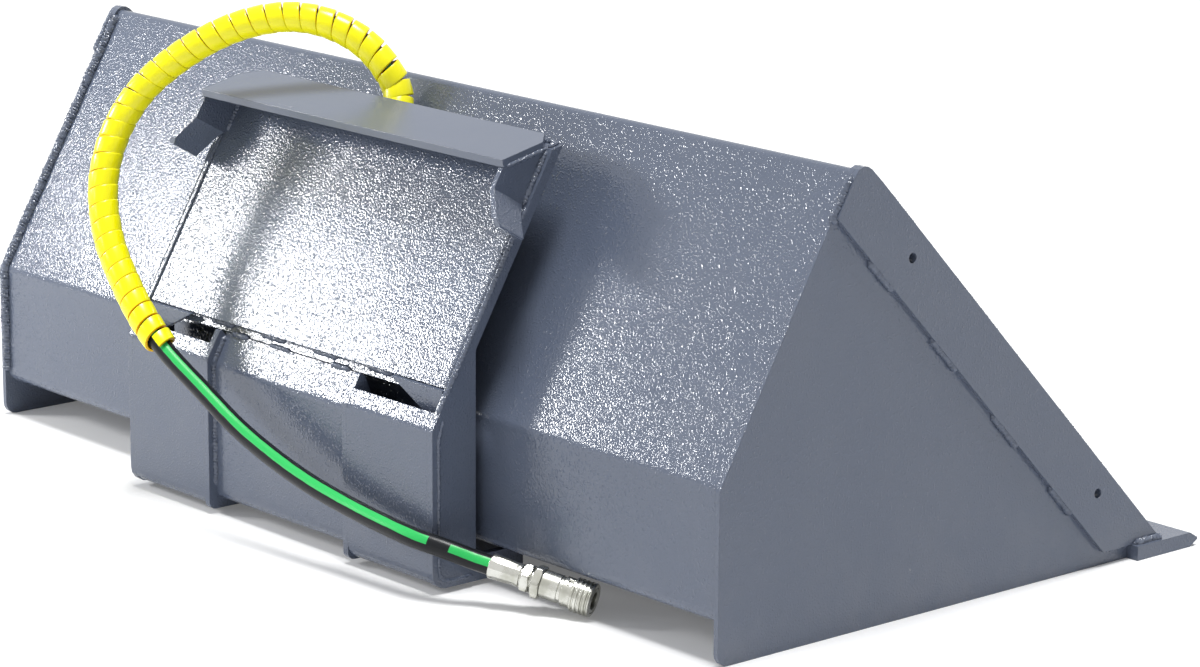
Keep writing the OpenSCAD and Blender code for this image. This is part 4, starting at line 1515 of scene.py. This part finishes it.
@dataclass(frozen=True)
class FrameSeams:
    """Where the frame's weld beads run.

    Pairs on the coupler plate are a step off its rear face and a step up it, and the others are Y and Z.
    A lip run is measured down the hook lip from its top edge. The sides of arms and gap plates are X and the
    way that the bead faces.
    """

    half_w: float = 257.0
    side_t: float = 8.0
    ear_t: float = 6.0
    lip_top: float = 308.0
    # The ways off the coupler plate and down it, as Y and Z
    off_plate: Pair = (-0.864, 0.503)
    down_plate: Pair = (-0.503, -0.864)
    plate_edge: Pairs = ((1.6, 45), (1.6, 236))
    plate_edge_left_size: float = 1.6
    plate_edge_right_size: float = 4.2
    ear_outside: Pairs = ((-0.4, 238), (-0.4, 296))
    ear_inside: Pairs = ((1.8, 240), (1.8, 294))
    lip_root: float = 10.0
    lip_way: Pair = (0.731, 0.682)
    lip_run: Pair = (16, 66)
    lip_corner: Pair = (0, 13)
    rib_x: float = 114.0
    rib_top: Pairs = ((9, 31), (9, 3))
    rib_rear: Pairs = ((-56, 158), (-56, 30))
    side_foot: Pairs = ((-48, 7), (-19, 7))
    rim_top: Pairs = ((7, 14),)
    rim: Pairs = ((-57.5, 155), (-57.5, 26), (-56, 19), (-51.5, 14), (-45, 12), (-15, 12))
    slope_in: float = 3.0
    slope: Pairs = ((0.6, 17), (0.6, 236))
    slope_left_size: float = 1.2
    slope_right_size: float = 3.2
    arm_sides: Pairs = ((174, -1.0), (186, 1.0))
    arm_root: Pairs = ((-58.6, 40), (-58.6, 140))
    stitch: float = 42.0
    stitch_gap: float = 46.0
    strip_top_half: float = 236.0
    strip_top: Pair = (9.8, 43.8)
    # Start, length and size of the three welds under the strip
    strip_welds: tuple[Spot, ...] = ((-106, 30, 3.2), (-41, 36, 2.7), (62, 33, 3.3))
    strip_foot: Pair = (9.6, 35.6)
    strip_front_half: float = 238.0
    strip_front: Pair = (15.5, 60.3)
    lip_under_half: float = 240.0
    lip_under: Pair = (2.0, 300.3)
    lip_over_half: float = 247.0
    lip_over: Pair = (10.2, 308.0)
    gap_plates: Pairs = ((94, -1.0), (108, 1.0), (136, -1.0), (150, 1.0), (-90, -1.0), (-24, 1.0))
    gap_plate_half: float = 17.0

    def lip_line(self, x: float, run: Pair, lift: float = 0.0) -> tuple[Vector, ...]:
        """Two points down the hook lip.

        Args:
            x: Across.
            run: Their distances from the lip's top edge.
            lift: A step up the plate.

        Returns:
            The points.
        """
        off, down = self.lip_way
        return leaning(FRAME_REF, x, [(self.lip_root - t * off, self.lip_top - t * down + lift) for t in run])

    def side_seams(self, side: Side) -> list[Seam]:
        """The seams of one side of the frame.

        Args:
            side: The side.

        Returns:
            The seams.
        """
        s, left = side.value, side is Side.LEFT
        outer, inner = self.half_w, self.half_w - self.side_t
        ear = inner - self.ear_t
        edge_size = self.plate_edge_left_size if left else self.plate_edge_right_size
        slope_size = self.slope_left_size if left else self.slope_right_size
        in_off, out_off = (-s, *self.off_plate), (s, *self.off_plate)
        down_y, down_z = self.down_plate
        rib = leaning(FRAME_REF, s * self.rib_x, self.rib_top) + upright(s * self.rib_x, self.rib_rear)
        rim = leaning(FRAME_REF, s * outer, self.rim_top) + upright(s * outer, self.rim)
        seams = [
            Seam(leaning(FRAME_REF, s * inner, self.plate_edge), in_off, edge_size),
            Seam(leaning(FRAME_REF, s * (inner + 0.4), self.ear_outside), out_off, 3.8),
            Seam(leaning(FRAME_REF, s * ear, self.ear_inside), in_off, 3.6),
            Seam(self.lip_line(s * inner, self.lip_run), (s, down_y, down_z), 2.6),
            Seam(self.lip_line(s * ear, self.lip_run), (-s, down_y, down_z), 3.2),
            Seam(self.lip_line(s * (inner + 0.5), self.lip_corner, 1.0), (s, down_y, -down_z), 3.4),
            Seam(rib, (-s, -1.0, 0.0), 4.0),
            Seam(upright(s * inner, self.side_foot), (-s, 0.0, -1.0), 2.4),
            Seam(rim, (s, -0.4, 0.0), 2.0),
            Seam(leaning(FRAME_REF, s * (outer - self.slope_in), self.slope), out_off, slope_size),
        ]
        for x, way in self.arm_sides:
            seams.append(Seam(upright(s * x, self.arm_root), (s * way, 1.0, 0.0), 2.8))
        return seams

    def strip_seams(self) -> list[Seam]:
        """The seams of the strip under the coupler plate.

        Returns:
            The seams.
        """
        top = crossing(FRAME_REF, -self.strip_top_half, self.strip_top_half, self.strip_top)
        front = crossing(FRAME_REF, -self.strip_front_half, self.strip_front_half, self.strip_front)
        seams = [Seam(top, (0.0, -1.0, -0.5), 3.2, self.stitch, self.stitch_gap)]
        for x, long, size in self.strip_welds:
            seams.append(Seam(crossing(FRAME_REF, x, x + long, self.strip_foot), (0.0, -1.0, 0.2), size))
        seams.append(Seam(front, (0.0, 0.9, 0.5), 3.0, self.stitch, self.stitch_gap))
        return seams

    def all_seams(self) -> list[Seam]:
        """The seams of the quick-attach frame.

        Returns:
            The seams.
        """
        seams = [*self.side_seams(Side.LEFT), *self.side_seams(Side.RIGHT), *self.strip_seams()]
        under = crossing(FRAME_REF, -self.lip_under_half, self.lip_under_half, self.lip_under)
        over = crossing(FRAME_REF, -self.lip_over_half, self.lip_over_half, self.lip_over)
        seams += [Seam(under, (0.0, -1.0, 0.0), 3.6), Seam(over, (0.0, 1.0, -0.2), 3.2)]
        for x, way in self.gap_plates:
            foot = [(-GAP, LATCH_S + step) for step in (-self.gap_plate_half, self.gap_plate_half)]
            seams.append(Seam(leaning(BACK_REF, x, foot), (way, 0.86, -0.5), 2.8))
        return seams


# Hinge and latch trim


def wire(name: str, line: Sequence[Vector], radius: float, body: Body, finish: Material) -> Piece:
    """A round steel wire along a line.

    Args:
        name: The piece's name.
        line: Its middle line, in metres.
        radius: Its radius in millimetres.
        body: The body that it moves with.
        finish: Its finish.

    Returns:
        The wire.
    """
    sides = 14
    skin = Skin(name)
    skin.tube([round_ring(p, a, b, radius, sides) for p, (_, a, b) in zip(line, carried_frames(line))])
    return skin.build(body, Slot.STEEL, finish)


@dataclass
class HingeTrim:
    """The cotter pins that hold the two hinge pins."""

    arm_x: float = 180.0
    pivot_y: float = 330.0
    pivot_z: float = 21.0
    in_from_arm: float = 17.25
    wire_r: float = 0.78
    half_l: float = 11.2
    leg_shares: tuple[float, ...] = (0.0, 0.35, 0.7, 1.0)
    leg_spread: float = 3.0
    leg_bent: float = 3.2
    leg_top: float = 4.0
    eye_r: float = 2.4
    eye_drop: float = 1.4
    eye_from: float = -60.0
    eye_sweep: float = 300.0
    eye_steps: int = 12
    curve_steps: int = 5
    line_step: float = 0.5

    def leg(self, x: float, way: float) -> list[Vector]:
        """One leg from its bent foot up to the eye.

        Args:
            x: Across.
            way: 1 for the front leg, and -1 for the rear one.

        Returns:
            The points that it passes.
        """
        out: list[Vector] = []
        for t in self.leg_shares:
            y = self.pivot_y + way * (self.wire_r + self.leg_spread * (1 - t) ** 2)
            out.append(place(x, y, self.pivot_z - self.half_l + self.leg_bent * t))
        out.append(place(x, self.pivot_y + way * self.wire_r, self.pivot_z + self.half_l - self.leg_top))
        return out

    def cotter(self, side: Side, finish: Material) -> Piece:
        """Makes one cotter pin: an eye on top and two legs that are bent apart below the hinge pin.

        Args:
            side: The side of the bucket that it is on.
            finish: The bare steel.

        Returns:
            The pin.
        """
        x = side.value * (self.arm_x - self.in_from_arm)
        middle = self.pivot_z + self.half_l - self.eye_drop
        eye: list[Vector] = []
        for k in range(self.eye_steps + 1):
            t = math.radians(self.eye_from + self.eye_sweep * k / self.eye_steps)
            eye.append(place(x, self.pivot_y + self.eye_r * math.cos(t), middle + self.eye_r * math.sin(t)))
        line = through([*self.leg(x, 1.0), *eye, *reversed(self.leg(x, -1.0))], self.curve_steps)
        name = f"cotter_pin_{side.name.lower()}"
        return wire(name, resample(line, self.line_step * MM), self.wire_r, Body.BUCKET, finish)


@dataclass
class LatchTrim:
    """The return spring and the gland's rim on the latch cylinder.

    The rim's outline is given as places along the cylinder's axis and radii.
    """

    gland_x: float = 12.0
    spring_r: float = 9.1
    wire_r: float = 1.5
    turns: int = 5
    turn_steps: int = 28
    room: float = 24.0
    air: float = 0.3
    rim: Pairs = (
        (-3.0, 16.6), (-3.0, 17.05), (-0.6, 17.05), (-0.05, 16.4), (0.2, 13.0), (0.2, 12.0), (-1.0, 12.0),
    )

    def at(self, x: float, y: float, z: float) -> Vector:
        """A point beside the bolt's axis, from X, a step forward off the back and a step up the slope."""
        return on_slope(BACK_REF, x, y - GAP / 2, LATCH_S + z)

    def spring(self, finish: Material) -> Piece:
        """Makes the squeezed return spring with a round wire.

        Args:
            finish: The spring steel.

        Returns:
            The spring.
        """
        steps = self.turns * self.turn_steps
        usable = self.room - 2 * (self.air + self.wire_r)
        line: list[Vector] = []
        for k in range(steps + 1):
            t = math.tau * self.turns * k / steps
            x = self.gland_x + self.air + self.wire_r + usable * k / steps
            line.append(self.at(x, self.spring_r * math.sin(t), -self.spring_r * math.cos(t)))
        return wire("round_wire_spring", line, self.wire_r, Body.FRAME, finish)

    def gland(self, finish: Material) -> Piece:
        """Makes the screwed gland's rim, a thin ring on the cylinder's end.

        Args:
            finish: The plating.

        Returns:
            The ring.
        """
        turned = Turned(self.at(self.gland_x, 0, 0), Vector((1, 0, 0)))
        skin = Skin("gland_rim")
        skin.tube(turned.rings(self.rim), closed=True)
        return skin.build(Body.FRAME, Slot.ZINC, finish)


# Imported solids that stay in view


@dataclass
class CarriedParts:
    """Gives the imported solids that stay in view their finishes."""

    finishes: Finishes

    def unpainted(self) -> dict[str, Material]:
        """The solids that don't have the grainy paint, with their finishes.

        Returns:
            A finish for each node's name.
        """
        steel, bronze = self.finishes.steel, self.finishes.bronze
        return {
            "pivot_pin_left": steel,
            "pivot_pin_right": steel,
            "latch_bolt": steel,
            "piston_rod": self.finishes.chrome,
            "pivot_bush_left": bronze,
            "pivot_bush_right": bronze,
            "hose_adapter": self.finishes.zinc,
            "hook_lip": self.finishes.smooth_paint,
        }

    def dress(self, hidden: Sequence[str]) -> None:
        """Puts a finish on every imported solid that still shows.

        Args:
            hidden: The solids that other pieces stand for.
        """
        unpainted = self.unpainted()
        for name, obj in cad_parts.items():
            if name in hidden:
                continue
            finish = unpainted.get(name, self.finishes.paint)
            for slot in obj.material_slots:
                slot.material = finish
            log.info("dressed %s with %s", name, finish.name)


# Studio


@dataclass(frozen=True)
class SquareLamp:
    """A square area lamp, in metres and watts."""

    name: str
    at: Spot
    aim: Spot
    size: float
    power: float

    def make(self) -> Piece:
        """Makes the lamp.

        Returns:
            The lamp.
        """
        data = bpy.data.lights.new(self.name, "AREA")
        data.size, data.energy, data.shape = self.size, self.power, "SQUARE"
        obj = bpy.data.objects.new(self.name, data)
        obj.location = self.at
        obj.rotation_mode = "QUATERNION"
        obj.rotation_quaternion = (Vector(self.aim) - Vector(self.at)).to_track_quat("-Z", "Y")
        bpy.context.scene.collection.objects.link(obj)
        return obj


@dataclass
class Studio:
    """Camera, lamps, world and floor, in metres."""

    eye: Spot = (3.2328, -2.7213, 1.1801)
    forward: Spot = (-0.7345, 0.6368, -0.2345)
    roll: float = -0.38
    lens: float = 122.61
    sensor: float = 36.0
    lamps: tuple[SquareLamp, ...] = (
        SquareLamp("key_lamp", at=(-2.06, -1.357, 1.127), aim=(0.0, -0.289, 0.25), size=0.26, power=12.0),
        SquareLamp("softbox", at=(-1.905, -1.63, 1.1), aim=(0.08, -0.32, 0.22), size=0.34, power=19.0),
        SquareLamp("front_fill", at=(-1.2, -2.9, 1.5), aim=(0.0, -0.2, 0.25), size=0.5, power=6.0),
    )
    sky_way: Spot = (0.03, 0.0, 1.0)
    sky_angle: float = 20.0
    sky_power: float = 3.6
    surround: Rgb = (0.93, 0.96, 1.0)
    surround_strength: float = 0.26
    white: Rgb = (1.0, 1.0, 1.0)
    floor_half: float = 30.0
    floor_colour: Rgb = (0.95, 0.95, 0.95)
    floor_roughness: float = 0.9
    floor_glow: float = 0.14

    def camera(self) -> Piece:
        """Makes the camera at the photograph's place.

        Returns:
            The camera.
        """
        forward = Vector(self.forward).normalized()
        right = forward.cross(Vector((0, 0, 1))).normalized()
        down = forward.cross(right)
        roll = math.radians(self.roll)
        across = right * math.cos(roll) + down * math.sin(roll)
        up = right * math.sin(roll) - down * math.cos(roll)
        turn = Matrix((across, up, -forward)).transposed()
        data = bpy.data.cameras.new("camera")
        data.lens, data.sensor_width, data.sensor_fit = self.lens, self.sensor, "HORIZONTAL"
        obj = bpy.data.objects.new("camera", data)
        obj.matrix_world = Matrix.Translation(Vector(self.eye)) @ turn.to_4x4()
        bpy.context.scene.collection.objects.link(obj)
        bpy.context.scene.camera = obj
        return obj

    def sky(self) -> Piece:
        """Makes the soft light from above, which whitens the open floor and leaves it dark under the bucket.

        Returns:
            The light.
        """
        data = bpy.data.lights.new("sky_lamp", "SUN")
        data.energy, data.angle = self.sky_power, math.radians(self.sky_angle)
        obj = bpy.data.objects.new("sky_lamp", data)
        obj.rotation_mode = "QUATERNION"
        obj.rotation_quaternion = (-Vector(self.sky_way)).to_track_quat("-Z", "Y")
        bpy.context.scene.collection.objects.link(obj)
        return obj

    def world(self) -> None:
        """Makes an even pale surround that the camera sees as white."""
        world = bpy.data.worlds.new("surround")
        world.use_nodes = True
        world.node_tree.nodes.clear()
        sheet = Sheet(world.node_tree)
        light, seen = sheet.add("ShaderNodeBackground"), sheet.add("ShaderNodeBackground")
        path, mix = sheet.add("ShaderNodeLightPath"), sheet.add("ShaderNodeMixShader")
        out = sheet.add("ShaderNodeOutputWorld")
        sheet.feed(light, "Color", rgba(self.surround))
        sheet.feed(light, "Strength", self.surround_strength)
        sheet.feed(seen, "Color", rgba(self.white))
        clear = sheet.maths("MAXIMUM", path.outputs["Is Camera Ray"], path.outputs["Is Glossy Ray"])
        sheet.feed(mix, 0, sheet.maths("MAXIMUM", clear, path.outputs["Is Transmission Ray"]))
        sheet.feed(mix, 1, light.outputs[0])
        sheet.feed(mix, 2, seen.outputs[0])
        sheet.feed(out, "Surface", mix.outputs[0])
        bpy.context.scene.world = world

    def floor(self) -> Piece:
        """Makes the pale floor, which stays white to the camera outside the object's shadow.

        Returns:
            The floor.
        """
        half = self.floor_half
        mesh = bpy.data.meshes.new("floor")
        corners = [(-half, -half, 0), (half, -half, 0), (half, half, 0), (-half, half, 0)]
        mesh.from_pydata(corners, [], [(0, 1, 2, 3)])
        obj = bpy.data.objects.new("floor", mesh)
        bpy.context.scene.collection.objects.link(obj)
        material, sheet, shader = new_material("pale_floor")
        sheet.feed(shader, "Base Color", rgba(self.floor_colour))
        sheet.feed(shader, "Roughness", self.floor_roughness)
        path, white = sheet.add("ShaderNodeLightPath"), sheet.add("ShaderNodeEmission")
        mix = sheet.add("ShaderNodeMixShader")
        out = next(n for n in material.node_tree.nodes if n.type == "OUTPUT_MATERIAL")
        clear = sheet.maths("MAXIMUM", path.outputs["Is Camera Ray"], path.outputs["Is Glossy Ray"])
        sheet.feed(mix, 0, sheet.times(clear, self.floor_glow))
        sheet.feed(mix, 1, shader.outputs["BSDF"])
        sheet.feed(mix, 2, white.outputs[0])
        sheet.feed(out, "Surface", mix.outputs[0])
        obj.data.materials.append(material)
        return obj

    def build(self) -> None:
        """Makes everything but the camera."""
        self.world()
        self.floor()
        for lamp in self.lamps:
            lamp.make()
        self.sky()


def main() -> None:
    """Builds the scene piece by piece."""
    logging.basicConfig(level=logging.INFO, format="%(name)s %(message)s")
    bpy.context.scene.view_settings.view_transform = "Standard"
    studio = Studio()
    studio.camera()
    finishes = Finishes.make()

    hose = HoseLine()
    tube, guard = hose.tube(finishes.hose), hose.guard(finishes.guard)
    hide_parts("hose")
    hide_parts("spiral_guard")
    coupler = QuickCoupler(hose)
    near, far = coupler.near_ferrule(finishes.zinc), coupler.far_ferrule(finishes.zinc)
    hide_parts("inlet_ferrule")
    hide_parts("outlet_ferrule")
    body, sleeve = coupler.body(finishes.zinc), coupler.sleeve(finishes.zinc)
    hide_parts("coupler_body")
    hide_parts("coupler_sleeve")
    hose.length()
    [tuple(p) for p in hose.line()]
    log.info("hose is %.3f m long", hose.length())

    beads, bucket, quick_attach = WeldBeads(), BucketSeams(), FrameSeams()
    beads.make("bucket_weld_beads", Body.BUCKET, bucket.shell_seams(), finishes.weld_paint)
    beads.make("cheek_weld_beads", Body.BUCKET, bucket.cheek_seams(), finishes.smooth_paint)
    beads.make("frame_weld_beads", Body.FRAME, quick_attach.all_seams(), finishes.weld_paint)

    hinge, latch = HingeTrim(), LatchTrim()
    cotters = [hinge.cotter(side, finishes.steel) for side in Side]
    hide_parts("split_pins")
    spring = latch.spring(finishes.steel)
    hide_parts("return_spring")
    latch.gland(finishes.zinc)

    stood_for = ["hose", "spiral_guard", "inlet_ferrule", "outlet_ferrule", "coupler_body", "coupler_sleeve"]
    CarriedParts(finishes).dress([*stood_for, "split_pins", "return_spring"])
    studio.build()


if __name__ == "__main__":
    main()
